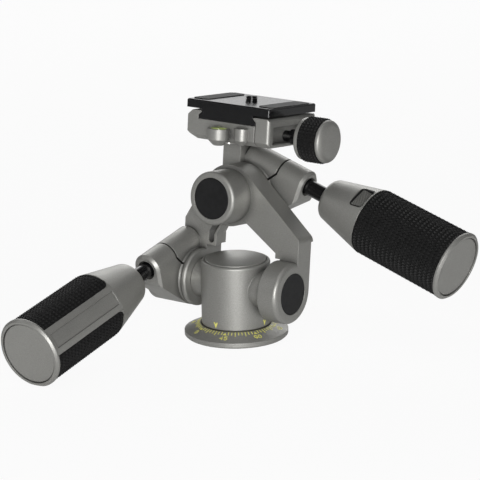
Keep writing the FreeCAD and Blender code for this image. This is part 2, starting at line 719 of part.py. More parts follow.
def make_pan_lock():
    """Pan lock behind the housing: a brass shoe, a screw that presses it, and its knob."""
    shoe_end = d.spindle_rad + 0.1
    screw_start = bush_rad + 1.2
    knob_start = d.pan_rad + 0.5
    knob_end = knob_start + d.lock_knob_len
    axis = pointing(Vector(0, 0, d.lock_height.value), Y_AXIS)
    shoe = turned_body("pan_brake_shoe", [(0, shoe_end), (d.lock_screw_rad, shoe_end),
                                          (d.lock_screw_rad, screw_start), (0, screw_start)])
    screw = turned_body("pan_lock_screw", [
        (0, screw_start + 0.1), (d.lock_screw_rad, screw_start + 0.1), (d.lock_screw_rad, knob_end - 3.0),
        (0, knob_end - 3.0),
    ])
    knob = turned_body("pan_lock_knob", [
        (d.lock_screw_rad, knob_start), (d.lock_knob_rad - 2.0, knob_start),
        (d.lock_knob_rad - 2.0, knob_start + 1.0), (d.lock_knob_rad, knob_start + 2.0),
        (d.lock_knob_rad, knob_end - 1.0), (d.lock_knob_rad - 1.0, knob_end), (0, knob_end),
        (0, knob_end - 3.0), (d.lock_screw_rad, knob_end - 3.0),
    ])
    flutes = sketch_on(knob, "flutes", "XY_Plane", knob_start)
    for turn in range(8):
        spot = ring_spot(d.lock_knob_rad + 0.6, turn, 8)
        add_circle(flutes, spot[0], spot[1], as_size(1.3))
    add_pocket(knob, flutes, d.lock_knob_len)
    for piece in (shoe, screw, knob):
        piece.Placement = axis
    return shoe, screw, knob


# ---------------------------------------------------------------- pinch clamps

def add_clamp_ring(body, clamp):
    """The ring round the shaft, with its unsplit flange and the groove beside it."""
    high = d.ring_rad
    low = d.ring_rad - d.edge
    neck = d.ring_rad - d.ring_groove
    body_from = d.ring_flange + d.ring_groove
    ring = sketch_at(body, "ring", clamp.upright())
    add_outline(ring, [
        (0, 0), (low, 0), (high, d.edge), (high, d.ring_flange - d.edge), (low, d.ring_flange),
        (neck, d.ring_flange), (neck, body_from), (low, body_from), (high, body_from + d.edge),
        (high, d.ring_len - d.edge), (low, d.ring_len), (0, d.ring_len),
    ])
    add_turning(body, ring)


def add_clamp_knuckle(body, clamp):
    """The block and half round barrel that carry the handle's rod past the shaft."""
    side_low = d.grip_plane - d.knuckle_rad
    side_high = d.grip_plane + d.knuckle_rad
    reach = root(d.knuckle_end * d.knuckle_end + d.knuckle_low * d.knuckle_low)
    touch = angle_of(d.knuckle_low, d.knuckle_end) - angle_with_cosine(d.ring_rad / reach)
    block = sketch_at(body, "block", clamp.section(side_low, side_high))
    add_outline(block, [
        (-d.knuckle_back, d.grip_rise), (-d.knuckle_back, d.grip_rise / TWICE), (0, 0),
        (d.ring_rad * cosine(touch), d.ring_rad * sine(touch)), (d.knuckle_end, d.knuckle_low),
        (d.knuckle_end, d.grip_rise),
    ])
    add_pad(body, block, d.knuckle_rad * TWICE)
    barrel = sketch_at(body, "barrel_round", clamp.along_handle(-d.knuckle_back.value))
    add_circle(barrel, 0, 0, d.knuckle_rad)
    return add_pad(body, barrel, d.knuckle_end + d.knuckle_back)


def cut_clamp(body, clamp):
    """Bores for the shaft and the rod, the recess for the end cover, and the slit."""
    bore = sketch_at(body, "bore", clamp.section(as_size(-0.1), d.ring_len))
    add_circle(bore, 0, 0, d.shaft_rad + d.run_gap)
    add_pocket(body, bore, d.ring_len + 0.2)
    pit = sketch_at(body, "cover_pit", clamp.section(d.ring_len - d.cover_pit, d.ring_len))
    add_circle(pit, 0, 0, d.cover_rad)
    add_pocket(body, pit, d.cover_pit)
    thread = sketch_at(body, "rod_thread", clamp.along_handle(-d.knuckle_back.value + 3.0))
    add_circle(thread, 0, 0, d.rod_rad + d.run_gap)
    add_pocket(body, thread, d.knuckle_end + d.knuckle_back)
    clear = sketch_at(body, "rod_clearance", clamp.along_handle(d.slit_out.value))
    add_circle(clear, 0, 0, d.rod_mouth)
    add_pocket(body, clear, d.knuckle_end)
    split_from = d.ring_flange + d.ring_groove
    slit = sketch_at(body, "slit", clamp.section(split_from, d.ring_len))
    add_outline(slit, slit_corners())
    add_pocket(body, slit, d.ring_len - split_from)


def slit_corners():
    """The slit's outline: straight down past the rod, then in to the shaft's bore."""
    top = d.grip_rise + d.knuckle_rad + 1.0
    half = d.slit_wide / TWICE
    angle = angle_of(d.slit_turn, d.slit_out)
    inner = d.shaft_rad * 0.6
    turn_x = half * sine(angle)
    turn_y = half * cosine(angle)
    return [
        (d.slit_out - half, top), (d.slit_out - half, d.slit_turn + half * 0.4),
        (inner * cosine(angle) - turn_x, inner * sine(angle) + turn_y),
        (inner * cosine(angle) + turn_x, inner * sine(angle) - turn_y),
        (d.slit_out + half, d.slit_turn - half * 0.4), (d.slit_out + half, top),
    ]


def soften_knuckle(body, clamp, base):
    """Chamfer round the knuckle's front face."""
    direction = clamp.drooped.Rotation.multVec(X_AXIS)
    level = clamp.drooped.Base.dot(direction) + d.knuckle_end.value
    return add_chamfer(body, "knuckle_edge", base, lies_at(direction, level), d.knuckle_edge)


# ---------------------------------------------------------------- tilt arm

def make_tilt_arm():
    """The arm casting: right boss and leg, round head with its barrel, left limb, pinch clamp."""
    body = new_body("tilt_arm")
    add_leg_and_boss(body)
    add_arm_plate(body)
    add_barrel(body)
    add_clamp_ring(body, LEFT_CLAMP)
    base = add_clamp_knuckle(body, LEFT_CLAMP)
    soften_knuckle(body, LEFT_CLAMP, base)
    cut_clamp(body, LEFT_CLAMP)
    cut_arm(body)
    body.Placement = ARM
    return body


def leg_meets():
    """Height where the leg's front face meets the round boss."""
    return d.tilt_height + root(d.boss_rad * d.boss_rad - d.arm_front * d.arm_front)


def add_leg_and_boss(body):
    """The right boss and the leg that rises from it, drawn square to the tilt axis."""
    tilt = d.tilt_height
    leg = sketch_on(body, "leg", "YZ_Plane", d.arm_inner)
    add_outline(leg, [
        (d.boss_rad, tilt, -d.boss_rad), (0, tilt - d.boss_rad, -d.boss_rad),
        (-d.boss_rad, tilt, -d.boss_rad), (d.arm_front, leg_meets()),
        (d.arm_front, limb_corner()[0][1]), (d.boss_rad, limb_corner()[0][1]),
    ])
    pad = add_pad(body, leg, d.boss_end - d.arm_inner)

    def outer_rim(edge):
        middle = edge.valueAt((edge.FirstParameter + edge.LastParameter) / 2)
        at_end = lies_at(X_AXIS, d.boss_end.value)(edge)
        straight_back = abs(middle.y - d.boss_rad.value) < 1e-3
        return at_end and (isinstance(edge.Curve, Part.Circle) or straight_back)

    return add_fillet(body, "boss_round", pad, outer_rim, d.boss_round)


def head_tangent(angle, sign):
    """The point on the round head's rim whose outward direction is angle above level."""
    return d.head_x + sign * d.head_rad * cosine(angle), d.head_height + d.head_rad * sine(angle)


def right_corner():
    """Where the right limb's outer edge meets the leg's outer face."""
    start = head_tangent(90 - d.limb_slope, 1)
    fall = sine(d.limb_slope) / cosine(d.limb_slope)
    return d.boss_end, start[1] - (d.boss_end - start[0]) * fall


def limb_corner():
    """Where the rounding of that corner starts on the leg and where it ends on the slope."""
    across, high = right_corner()
    turn = 90 - d.limb_slope
    reach = d.limb_round * sine(turn) / (1 + cosine(turn))
    return ((across, high - reach),
            (across - reach * cosine(d.limb_slope), high + reach * sine(d.limb_slope)))


def add_arm_plate(body):
    """The arm's flat plate: round head, right limb to the leg, left limb to the clamp."""
    thick = arm_back - d.arm_front
    head = sketch_on(body, "head", "XZ_Plane", -arm_back)
    add_circle(head, d.head_x, d.head_height, d.head_rad)
    add_pad(body, head, thick)
    low_end, high_end = limb_corner()
    fall = sine(d.limb_in_slope) / cosine(d.limb_in_slope)
    inner_end = d.head_x + 10.0
    right = sketch_on(body, "right_limb", "XZ_Plane", -arm_back)
    add_outline(right, [
        (d.head_x, d.head_height), (inner_end, d.limb_in_height + (d.arm_inner - inner_end) * fall),
        (d.arm_inner, d.limb_in_height), (*low_end, d.limb_round), high_end,
        head_tangent(90 - d.limb_slope, 1),
    ])
    add_pad(body, right, thick)
    outer = head_tangent(d.left_lean, -1)
    drop = cosine(d.left_lean) / sine(d.left_lean)
    foot = d.tilt_height + 8.0
    left = sketch_on(body, "left_limb", "XZ_Plane", -arm_back)
    add_outline(left, [
        (d.head_x, d.head_height), outer, (-d.left_out, outer[1] - (outer[0] + d.left_out) * drop),
        (-d.left_out, foot), (-d.arm_inner, foot), (-d.arm_inner, d.left_in_low),
        (-d.left_in, d.left_in_low), (-d.left_in, d.left_in_height),
        (-d.left_in + 5.1, d.left_in_height + 9.0),
    ])
    add_pad(body, left, thick)


def add_barrel(body):
    """The barrel in front of the head, with its rounded front edge."""
    barrel = sketch_on(body, "barrel", "XZ_Plane", -d.arm_front)
    add_circle(barrel, d.head_x, d.head_height, d.barrel_rad)
    pad = add_pad(body, barrel, d.arm_front + d.barrel_reach)
    add_fillet(body, "barrel_round", pad, lies_at(-Y_AXIS, d.barrel_reach.value), as_size(2.0))


def cut_arm(body):
    """Bores and recesses of the boss and the head, and the limb's slot."""
    clear_boss_end(body)
    bush = sketch_on(body, "bush_bore", "YZ_Plane", d.arm_inner)
    add_circle(bush, 0, d.tilt_height, bush_rad)
    add_pocket(body, bush, d.boss_end - d.arm_inner)
    pit = sketch_on(body, "boss_pit", "YZ_Plane", d.boss_end - d.cover_pit)
    add_circle(pit, 0, d.tilt_height, d.cover_rad)
    add_pocket(body, pit, d.cover_pit)
    bore = sketch_on(body, "head_bore", "XZ_Plane", -arm_back)
    add_circle(bore, d.head_x, d.head_height, d.shaft_rad)
    add_pocket(body, bore, arm_back + d.barrel_reach)
    hollow = sketch_on(body, "barrel_hollow", "XZ_Plane", d.barrel_floor - d.arm_front)
    add_circle(hollow, d.head_x, d.head_height, d.barrel_hollow)
    add_pocket(body, hollow, d.barrel_reach)
    seat = sketch_on(body, "barrel_seat", "XZ_Plane", d.barrel_reach - d.cover_thick)
    add_circle(seat, d.head_x, d.head_height, d.cover_rad)
    add_pocket(body, seat, d.cover_thick)
    thin_limb_web(body)
    cut_limb_slot(body)


def clear_boss_end(body):
    """Takes the boss's inner end back below the leg, where the trunnion's collar runs."""
    side = d.boss_rad + 1.0
    high = leg_meets() + 0.6
    clear = sketch_on(body, "boss_clear", "YZ_Plane", d.arm_inner)
    add_outline(clear, [
        (-side, d.tilt_height - side), (side, d.tilt_height - side), (side, high), (-side, high),
    ])
    add_pocket(body, clear, d.boss_inner - d.arm_inner)


def thin_limb_web(body):
    """Takes the back away from the left limb beside the slot, which leaves a thin web in front."""
    def rim_height(across):
        run = d.head_x - across
        return d.head_height - root(d.head_rad * d.head_rad - run * run)

    web = sketch_on(body, "limb_web", "XZ_Plane", -arm_back)
    low = d.left_in_low - 4.0
    middle = -d.left_in - d.slot_wall - d.slot_wide / TWICE
    add_outline(web, [
        (middle, low), (as_size(0.0), low), (as_size(0.0), rim_height(as_size(0.0)), -d.head_rad),
        (middle + 4.0, rim_height(middle + 4.0)), (middle, d.left_in_height),
    ])
    add_pocket(body, web, arm_back - d.web_back)


def cut_limb_slot(body):
    """The slot beside the left limb's inner edge, which follows that edge."""
    right = -d.left_in - d.slot_wall
    left = right - d.slot_wide
    half = d.slot_wide / TWICE
    low = d.left_in_height - 3.2
    rise = as_size(7.0)
    run = rise * 0.57
    slot = sketch_on(body, "limb_slot", "XZ_Plane", -d.arm_front - d.slot_deep)
    add_outline(slot, [
        (left, low, half), (left + half, low - half, half), (right, low), (right, d.left_in_height),
        (right + run, d.left_in_height + rise), (left + run, d.left_in_height + rise + 1.5),
        (left, d.left_in_height + 1.5),
    ])
    add_pocket(body, slot, d.slot_deep)


def make_tilt_bush():
    low = d.boss_inner + 0.2
    high = d.boss_end - d.cover_pit - 0.1
    body = turned_body("tilt_bush", ring_corners(d.shaft_rad + d.run_gap, bush_rad, low, high))
    body.Placement = ARM.multiply(SHAFT_RIGHT)
    return body


def make_covers():
    """The round end covers: right boss, left clamp, barrel and lateral clamp."""
    pieces = []
    places = (
        ("right_boss_cover", d.boss_end, SHAFT_RIGHT), ("left_clamp_cover", ring_far_x, SHAFT_LEFT),
        ("barrel_cover", d.barrel_reach, LATERAL_FRONT), ("lateral_clamp_cover", ring_far_y, LATERAL_BACK),
    )
    for label, outer, frame in places:
        high = outer - 0.1
        cover = turned_body(label, disc_corners(d.cover_rad - 0.1, high - d.cover_thick + 0.1, high, 0.3))
        cover.Placement = ARM.multiply(frame)
        pieces.append(cover)
    return pieces


# ---------------------------------------------------------------- lateral shaft

stub_start = d.barrel_floor - d.arm_front


def make_lateral_shaft():
    """Steel shaft fixed in the arm's head: threaded stub in front, plain journal behind."""
    back = ring_far_y - d.cover_pit + 0.1
    tapped = d.end_screw_len + 1.0
    body = turned_body("lateral_shaft", [
        (0, -stub_start - d.stub_len), (d.stub_rad, -stub_start - d.stub_len), (d.stub_rad, -stub_start),
        (d.shaft_rad, -stub_start), (d.shaft_rad, back), (d.end_screw_rad, back),
        (d.end_screw_rad, back - tapped), (0, back - tapped),
    ])
    body.Placement = ARM.multiply(LATERAL_BACK)
    return body


def make_lateral_nut():
    """Washer and hexagon nut inside the barrel."""
    low = stub_start
    washer = turned_body("lateral_nut_washer",
                         ring_corners(d.stub_rad, d.barrel_hollow - 0.6, low, low + 1.2))
    nut = new_body("lateral_nut")
    section = sketch_on(nut, "section", "XY_Plane", low + 1.2)
    corner = d.nut_flats / root(as_size(3.0))
    add_outline(section, [ring_spot(corner, turn, 6) for turn in range(6)])
    add_circle(section, 0, 0, d.stub_rad)
    add_pad(nut, section, d.nut_thick)
    for piece in (washer, nut):
        piece.Placement = ARM.multiply(LATERAL_FRONT)
    return washer, nut


# ---------------------------------------------------------------- platform

def make_platform_bracket():
    """The casting that turns about the lateral shaft: clamp, neck, and the flange under the deck."""
    body = new_body("platform_bracket")
    add_clamp_ring(body, RIGHT_CLAMP)
    base = add_clamp_knuckle(body, RIGHT_CLAMP)
    soften_knuckle(body, RIGHT_CLAMP, base)
    neck = sketch_on(body, "neck", "YZ_Plane", d.head_x - d.neck_out)
    high = d.deck_height
    shoulder = high - d.foot_thick
    add_outline(neck, [
        (ring_near, d.head_height + 4.0), (ring_far_y, d.head_height + 4.0),
        (ring_far_y, d.head_height + d.ring_rad), (deck_back, shoulder), (deck_back, high), (ring_near, high),
    ])
    add_pad(body, neck, d.neck_out - d.neck_in)
    foot = sketch_on(body, "foot", "XY_Plane", shoulder)
    add_outline(foot, [
        (d.head_x - d.foot_left, d.foot_reach), (d.head_x + d.foot_right, d.foot_reach),
        (d.head_x + d.foot_right, deck_back), (d.head_x - d.foot_left, deck_back),
    ])
    add_pad(body, foot, d.foot_thick)
    cut_clamp(body, RIGHT_CLAMP)
    holes = sketch_on(body, "screw_holes", "XY_Plane", shoulder)
    for across, along in bracket_screw_spots():
        add_circle(holes, across, along, as_size(2.0))
    add_pocket(body, holes, d.foot_thick)
    body.Placement = ARM
    return body


def bracket_screw_spots():
    """Centres of the three screws that hold the clamp body to the bracket."""
    left = d.head_x - d.foot_left + 6.0
    right = d.head_x + d.foot_right - 5.0
    return [(right, d.deck_y + d.pin_spread / TWICE), (right, deck_back - 4.0), (left, d.foot_reach + 5.0)]


def make_bracket_screws():
    """Screws up through the bracket's flange into the clamp body."""
    body = new_body("bracket_screws")
    low = d.deck_height - d.foot_thick
    shanks = sketch_on(body, "shanks", "XY_Plane", low)
    heads = sketch_on(body, "heads", "XY_Plane", low - 1.6)
    for across, along in bracket_screw_spots():
        add_circle(shanks, across, along, as_size(2.0))
        add_circle(heads, across, along, as_size(3.4))
    add_pad(body, heads, 1.6)
    add_pad(body, shanks, d.foot_thick + 5.0)
    body.Placement = ARM
    return body


def front_bottom_edge(edge):
    """True for the edges of the clamp's bottom face that bound it in front."""
    middle = edge.valueAt((edge.FirstParameter + edge.LastParameter) / 2)
    return lies_at(Z_AXIS, d.deck_height.value)(edge) and middle.y < deck_front.value + 1e-3


def make_clamp_body():
    """The clamp body: fixed jaw with its hooked lip, channel floor, level lug and small boss."""
    body = new_body("quick_release_body")
    section = sketch_on(body, "section", "XZ_Plane", -deck_back)
    gap = d.air_gap
    tail_high = d.deck_floor + gap + d.tail_lip
    lip_high = tail_high + d.tail_foot - d.tail_top
    add_outline(section, [
        (5.5 - d.jaw_left, d.deck_height), (d.jaw_split, d.deck_height), (d.jaw_split, d.deck_floor),
        (-d.tail_foot - gap, d.deck_floor), (-d.tail_foot - gap, tail_high), (-d.tail_top - gap, lip_high),
        (-d.tail_top - gap, d.deck_top - 0.5), (-d.tail_top - gap - 0.7, d.deck_top),
        (3.2 - d.jaw_left, d.deck_top), (-d.jaw_left, d.deck_top - 2.8), (-d.jaw_left, d.deck_height + 4.2),
    ])
    block = add_pad(body, section, d.deck_len)
    add_chamfer(body, "bottom_edge", block, front_bottom_edge, d.deck_edge)
    lug_y = deck_front - d.lug_out
    for name, across, along, rad, low, high, taper in (
            ("lug", d.lug_x, lug_y, d.lug_rad, d.lug_low, d.lug_top, d.lug_taper),
            ("bump", d.bump_x, deck_front, d.bump_rad, d.deck_height, d.bump_top, d.deck_edge)):
        spot = Vector(across.value, along.value, 0)
        boss = sketch_at(body, name, frame_of(spot, X_AXIS, Z_AXIS, -Y_AXIS))
        add_outline(boss, [(0, low), (rad - taper, low), (rad, low + taper), (rad, high), (0, high)])
        add_turning(body, boss)
    vial = sketch_on(body, "vial_seat", "XY_Plane", d.lug_top - d.vial_deep)
    add_circle(vial, d.lug_x, lug_y, d.vial_rad)
    add_pocket(body, vial, d.vial_deep)
    bores = sketch_on(body, "jaw_bores", "YZ_Plane", 1.0)
    add_circle(bores, d.deck_y, d.knob_height, d.jaw_screw_rad + d.run_gap)
    for side in (-1, 1):
        add_circle(bores, d.deck_y + side * d.pin_spread, d.knob_height, d.pin_rad)
    add_pocket(body, bores, d.jaw_split)
    holes = sketch_on(body, "screw_holes", "XY_Plane", d.deck_height)
    for across, along in bracket_screw_spots():
        add_circle(holes, across, along, as_size(2.0))
    add_pocket(body, holes, as_size(5.0))
    body.Placement = ARM
    return body


def make_level():
    """Round bubble level sunk in the lug, and the ring that holds it."""
    ring_in = d.vial_rad - 0.9
    lug_y = deck_front - d.lug_out
    low = d.lug_top - d.vial_deep
    vial = turned_body("level_vial", disc_corners(ring_in, low, d.lug_top - 0.2, 0.4))
    ring = turned_body("level_ring", ring_corners(ring_in, d.vial_rad, low, d.lug_top))
    for piece in (vial, ring):
        piece.Placement = ARM.multiply(Placement(Vector(d.lug_x.value, lug_y.value, 0), Rotation()))
    return vial, ring


def jaw_corner(edge):
    """True for the upright edges at the ends of the jaw's outer face."""
    middle = edge.valueAt((edge.FirstParameter + edge.LastParameter) / 2)
    at_end = abs(abs(middle.y - d.deck_y.value) - d.deck_len.value / 2) < 1e-3
    return at_end and lies_at(X_AXIS, d.jaw_right.value)(edge)


def make_sliding_jaw():
    """The sliding jaw: hooked lip inside, recess with two end pillars outside."""
    body = new_body("sliding_jaw")
    gap = d.air_gap
    inner = d.jaw_split + d.jaw_seam
    tail_high = d.deck_floor + gap + d.tail_lip
    lip_high = tail_high + d.tail_foot - d.tail_top
    section = sketch_on(body, "section", "XZ_Plane", -deck_back)
    add_outline(section, [
        (inner, d.deck_height), (d.jaw_right - 1.0, d.deck_height), (d.jaw_right, d.deck_height + 1.0),
        (d.jaw_right, d.deck_top - 1.5), (d.jaw_right - 1.5, d.deck_top),
        (d.tail_top + gap + 0.7, d.deck_top), (d.tail_top + gap, d.deck_top - 0.5),
        (d.tail_top + gap, lip_high), (d.tail_foot + gap, tail_high), (d.tail_foot + gap, d.deck_floor),
        (inner, d.deck_floor),
    ])
    block = add_pad(body, section, d.deck_len)
    edged = add_chamfer(body, "bottom_edge", block, front_bottom_edge, d.deck_edge)
    add_fillet(body, "outer_corners", edged, jaw_corner, d.jaw_round)
    recess = sketch_on(body, "recess", "YZ_Plane", inner + d.jaw_web)
    low = d.deck_height + 2.0
    high = d.deck_top - 4.6
    add_outline(recess, [
        (deck_front + d.jaw_pillar, low), (deck_back - d.jaw_pillar, low),
        (deck_back - d.jaw_pillar, high), (deck_front + d.jaw_pillar, high),
    ])
    add_pocket(body, recess, d.jaw_right - d.jaw_split)
    bores = sketch_on(body, "bores", "YZ_Plane", d.jaw_split)
    add_circle(bores, d.deck_y, d.knob_height, d.jaw_screw_rad + 0.3)
    for side in (-1, 1):
        add_circle(bores, d.deck_y + side * d.pin_spread, d.knob_height, d.pin_rad + d.run_gap)
    add_pocket(body, bores, d.jaw_right - d.jaw_split)
    body.Placement = ARM
    return body


def make_guide_pins():
    """Two pins fixed in the clamp body, on which the jaw slides."""
    body = new_body("jaw_guide_pins")
    sketch = sketch_on(body, "pins", "YZ_Plane", 6.0)
    for side in (-1, 1):
        add_circle(sketch, d.deck_y + side * d.pin_spread, d.knob_height, d.pin_rad)
    add_pad(body, sketch, d.jaw_split + d.jaw_seam + d.jaw_web - 6.3)
    body.Placement = ARM
    return body


def make_jaw_knob():
    """Jaw knob: shouldered screw, hub with its flange, rubber ring, end cap."""
    start = d.knob_start
    ring_start = start + d.knob_flange
    ring_end = ring_start + d.knob_ring
    cap_end = ring_end + d.knob_cap
    hub_rad = d.knob_rad - 2.7
    stem_start = d.jaw_split + d.jaw_seam + d.jaw_web + d.air_gap
    stem_out = d.jaw_right + d.air_gap
    screw = turned_body("jaw_screw", [
        (0, 3.0), (d.jaw_screw_rad, 3.0), (d.jaw_screw_rad, stem_start), (d.stem_rad - 1.2, stem_start),
        (d.stem_rad - 1.2, stem_out), (d.stem_rad, stem_out), (d.stem_rad, start), (d.jaw_screw_rad, start),
        (d.jaw_screw_rad, ring_end), (0, ring_end),
    ])
    hub = turned_body("jaw_knob_hub", [
        (d.jaw_screw_rad, start), (d.knob_rad - 1.5, start), (d.knob_rad - 0.7, start + 0.8),
        (d.knob_rad - 0.7, ring_start), (hub_rad, ring_start), (hub_rad, ring_end),
        (d.jaw_screw_rad, ring_end),
    ])
    ring = turned_body("jaw_knob_ring", ring_corners(hub_rad, d.knob_rad, ring_start, ring_end))
    cap = turned_body("jaw_knob_cap", disc_corners(d.knob_rad - 0.7, ring_end, cap_end, 1.2))
    for piece in (screw, hub, ring, cap):
        piece.Placement = ARM.multiply(KNOB_AXIS)
    return screw, hub, ring, cap


# ---------------------------------------------------------------- camera plate

def plate_corner(edge):
    """True for the four upright edges of the plate's flange."""
    half = d.plate_wide.value / 2
    return any(lies_at(X_AXIS, side * half)(edge) and edge_is_upright(edge) for side in (-1, 1))


def edge_is_upright(edge):
    start = edge.valueAt(edge.FirstParameter)
    end = edge.valueAt(edge.LastParameter)
    return abs(abs((end - start).z) - edge.Length) < 1e-4


def make_camera_plate():
    """The plate: rounded flange above, dovetail below, seats for the pads, hole for the screw."""
    body = new_body("camera_plate")
    flange_low = d.plate_top - d.plate_thick
    foot_low = d.deck_floor + d.air_gap
    foot_high = foot_low + d.tail_lip
    neck_low = foot_high + d.tail_foot - d.tail_top
    half = d.plate_wide / TWICE
    section = sketch_on(body, "section", "XZ_Plane", -deck_back)
    add_outline(section, [
        (-d.tail_foot, foot_low), (d.tail_foot, foot_low), (d.tail_foot, foot_high),
        (d.tail_top, neck_low), (d.tail_top, flange_low), (half, flange_low), (half, d.plate_top),
        (-half, d.plate_top), (-half, flange_low), (-d.tail_top, flange_low),
        (-d.tail_top, neck_low), (-d.tail_foot, foot_high),
    ])
    block = add_pad(body, section, d.deck_len)
    rounded = add_fillet(body, "corners", block, plate_corner, d.plate_round)
    add_chamfer(body, "top_edge", rounded, lies_at(Z_AXIS, d.plate_top.value), d.plate_edge)
    seats = sketch_on(body, "pad_seats", "XY_Plane", d.plate_top - d.pad_sink)
    for side in (-1, 1):
        add_outline(seats, pad_corners(side))
    add_pocket(body, seats, d.pad_sink)
    hole = sketch_on(body, "screw_hole", "XY_Plane", foot_low)
    add_circle(hole, 0, d.deck_y, d.stud_rad + 0.1)
    add_pocket(body, hole, d.plate_top - foot_low)
    pit = sketch_on(body, "head_pit", "XY_Plane", foot_low)
    add_circle(pit, 0, d.deck_y, d.stud_head + 0.3)
    add_pocket(body, pit, d.stud_head_thick + 0.4)
    body.Placement = ARM
    return body


def pad_corners(side):
    """Outline of a rubber pad: a long slot shape with rounded corners."""
    rad = as_size(2.5)
    left = side * d.pad_x - d.pad_wide / TWICE
    right = side * d.pad_x + d.pad_wide / TWICE
    low = d.deck_y - d.pad_len / TWICE
    high = d.deck_y + d.pad_len / TWICE
    return [
        (left, low + rad, rad), (left + rad, low), (right - rad, low, rad), (right, low + rad),
        (right, high - rad, rad), (right - rad, high), (left + rad, high, rad), (left, high - rad),
    ]


def make_plate_pads():
    body = new_body("plate_pads")
    sketch = sketch_on(body, "pads", "XY_Plane", d.plate_top - d.pad_sink)
    for side in (-1, 1):
        add_outline(sketch, pad_corners(side))
    add_pad(body, sketch, d.pad_thick)
    body.Placement = ARM
    return body


def make_camera_screw():
    """The 1/4-20 camera screw, with its slotted head under the plate."""
    low = d.deck_floor + d.air_gap + 0.2
    high = d.plate_top + d.stud_rise
    body = turned_body("camera_screw", [
        (0, low), (d.stud_head, low), (d.stud_head, low + d.stud_head_thick),
        (d.stud_neck, low + d.stud_head_thick), (d.stud_neck, d.plate_top), (d.stud_rad, d.plate_top),
        (d.stud_rad, high - 0.6), (d.stud_rad - 0.6, high), (0, high),
    ])
    slot = sketch_on(body, "slot", "XY_Plane", low)
    half = as_size(0.8)
    add_outline(slot, [(-d.stud_head, -half), (d.stud_head, -half), (d.stud_head, half), (-d.stud_head, half)])
    add_pocket(body, slot, as_size(1.4))
    body.Placement = ARM.multiply(Placement(Vector(0, d.deck_y.value, 0), Rotation()))
    return body


# ---------------------------------------------------------------- handles

def grip_rad_at(distance):
    """Radius of the grip, which widens evenly from the front of the rubber to its back."""
    share = (distance - d.nose_end) / (d.grip_end - d.nose_end)
    return d.grip_front_rad + (d.grip_back_rad - d.grip_front_rad) * share


def make_handle_rod(side):
    """Steel rod: threaded end in the clamp, plain shank out to the grip."""
    start = 4.0 - d.knuckle_back
    step = d.slit_out + 1.0
    end = d.nose_start + 12.0
    return turned_body(f"{side}_handle_rod", [
        (0, start), (d.rod_rad - 1.0, start), (d.rod_rad - 0.2, start + 0.8), (d.rod_rad - 0.2, step),
        (d.rod_rad, step), (d.rod_rad, end), (0, end),
    ])


def make_handle_core(side):
    """The grip's core: tapered nose with its window, hollow tube, bare rib, end rim."""
    body = new_body(f"{side}_handle_core")
    wall_end = d.nose_start + 13.0
    nose = d.nose_start
    section = sketch_on(body, "section", "XZ_Plane")
    add_outline(section, [
        (d.rod_rad, nose), (d.nose_rad - 3.4, nose, 4.2), (d.nose_rad, nose + 3.4),
        (d.grip_front_rad, d.nose_end),
        (d.grip_back_rad, d.grip_end), (d.handle_rim_rad - 0.3, d.grip_end),
        (d.handle_rim_rad, d.grip_end + 0.4), (d.handle_rim_rad, d.handle_end - 1.2),
        (d.handle_rim_rad - 1.2, d.handle_end), (d.end_disc_rad + 0.4, d.handle_end),
        (d.end_disc_rad + 0.4, d.handle_end - 1.8), (d.core_hollow, d.handle_end - 1.8),
        (d.core_hollow, wall_end), (d.rod_rad, wall_end),
    ])
    add_turning(body, section)
    seat = sketch_on(body, "rubber_seat", "XZ_Plane")
    outside = -d.handle_rim_rad - 1.0
    add_outline(seat, [
        (outside, d.nose_end), (-d.core_rad, d.nose_end), (-d.core_rad, d.grip_end), (outside, d.grip_end),
    ])
    add_turning(body, seat, 360 - d.rib_angle, "Groove")
    field = sketch_on(body, "name_field", "XZ_Plane")
    front = d.nose_end + 1.5
    back = d.grip_end - 1.5
    add_outline(field, [
        (grip_rad_at(front) - d.field_deep, front), (-outside, front), (-outside, back),
        (grip_rad_at(back) - d.field_deep, back),
    ])
    add_turning(body, field, d.field_angle, "Groove")
    cut_nose_window(body, outside)
    return body


def cut_nose_window(body, outside):
    """The shallow window with rounded corners in the nose, opposite the rib."""
    window = sketch_on(body, "window", "YZ_Plane", outside)
    rad = as_size(2.0)
    half = d.window_wide / TWICE
    low = d.window_start
    high = d.nose_end - 0.8
    add_outline(window, [
        (-half, low + rad, rad), (rad - half, low), (half - rad, low, rad), (half, low + rad),
        (half, high - rad, rad), (half - rad, high), (rad - half, high, rad), (-half, high - rad),
    ])
    add_pocket(body, window, -outside - d.window_floor)


def make_handle_rubber(side):
    """The rubber sleeve, open along the rib."""
    return turned_body(f"{side}_grip_rubber", [
        (-d.core_rad, d.nose_end), (-d.grip_front_rad, d.nose_end), (-d.grip_back_rad, d.grip_end),
        (-d.core_rad, d.grip_end),
    ], 359.4 - d.rib_angle)


def make_handle_disc(side):
    low = d.handle_end - 1.8
    return turned_body(f"{side}_handle_end_disc", disc_corners(d.end_disc_rad, low, d.handle_end - 0.5, 0.4))


def make_handle(side, clamp, twist):
    """A whole handle on its clamp's axis, turned twist about it."""
    axis = ARM.multiply(clamp.along_handle(0.0))
    spin = Placement(Vector(0, 0, 0), Rotation(Z_AXIS, twist))
    rod = make_handle_rod(side)
    core = make_handle_core(side)
    disc = make_handle_disc(side)
    rubber = make_handle_rubber(side)
    for piece in (rod, core, disc, rubber):
        piece.Placement = axis.multiply(spin)


# ---------------------------------------------------------------- whole head

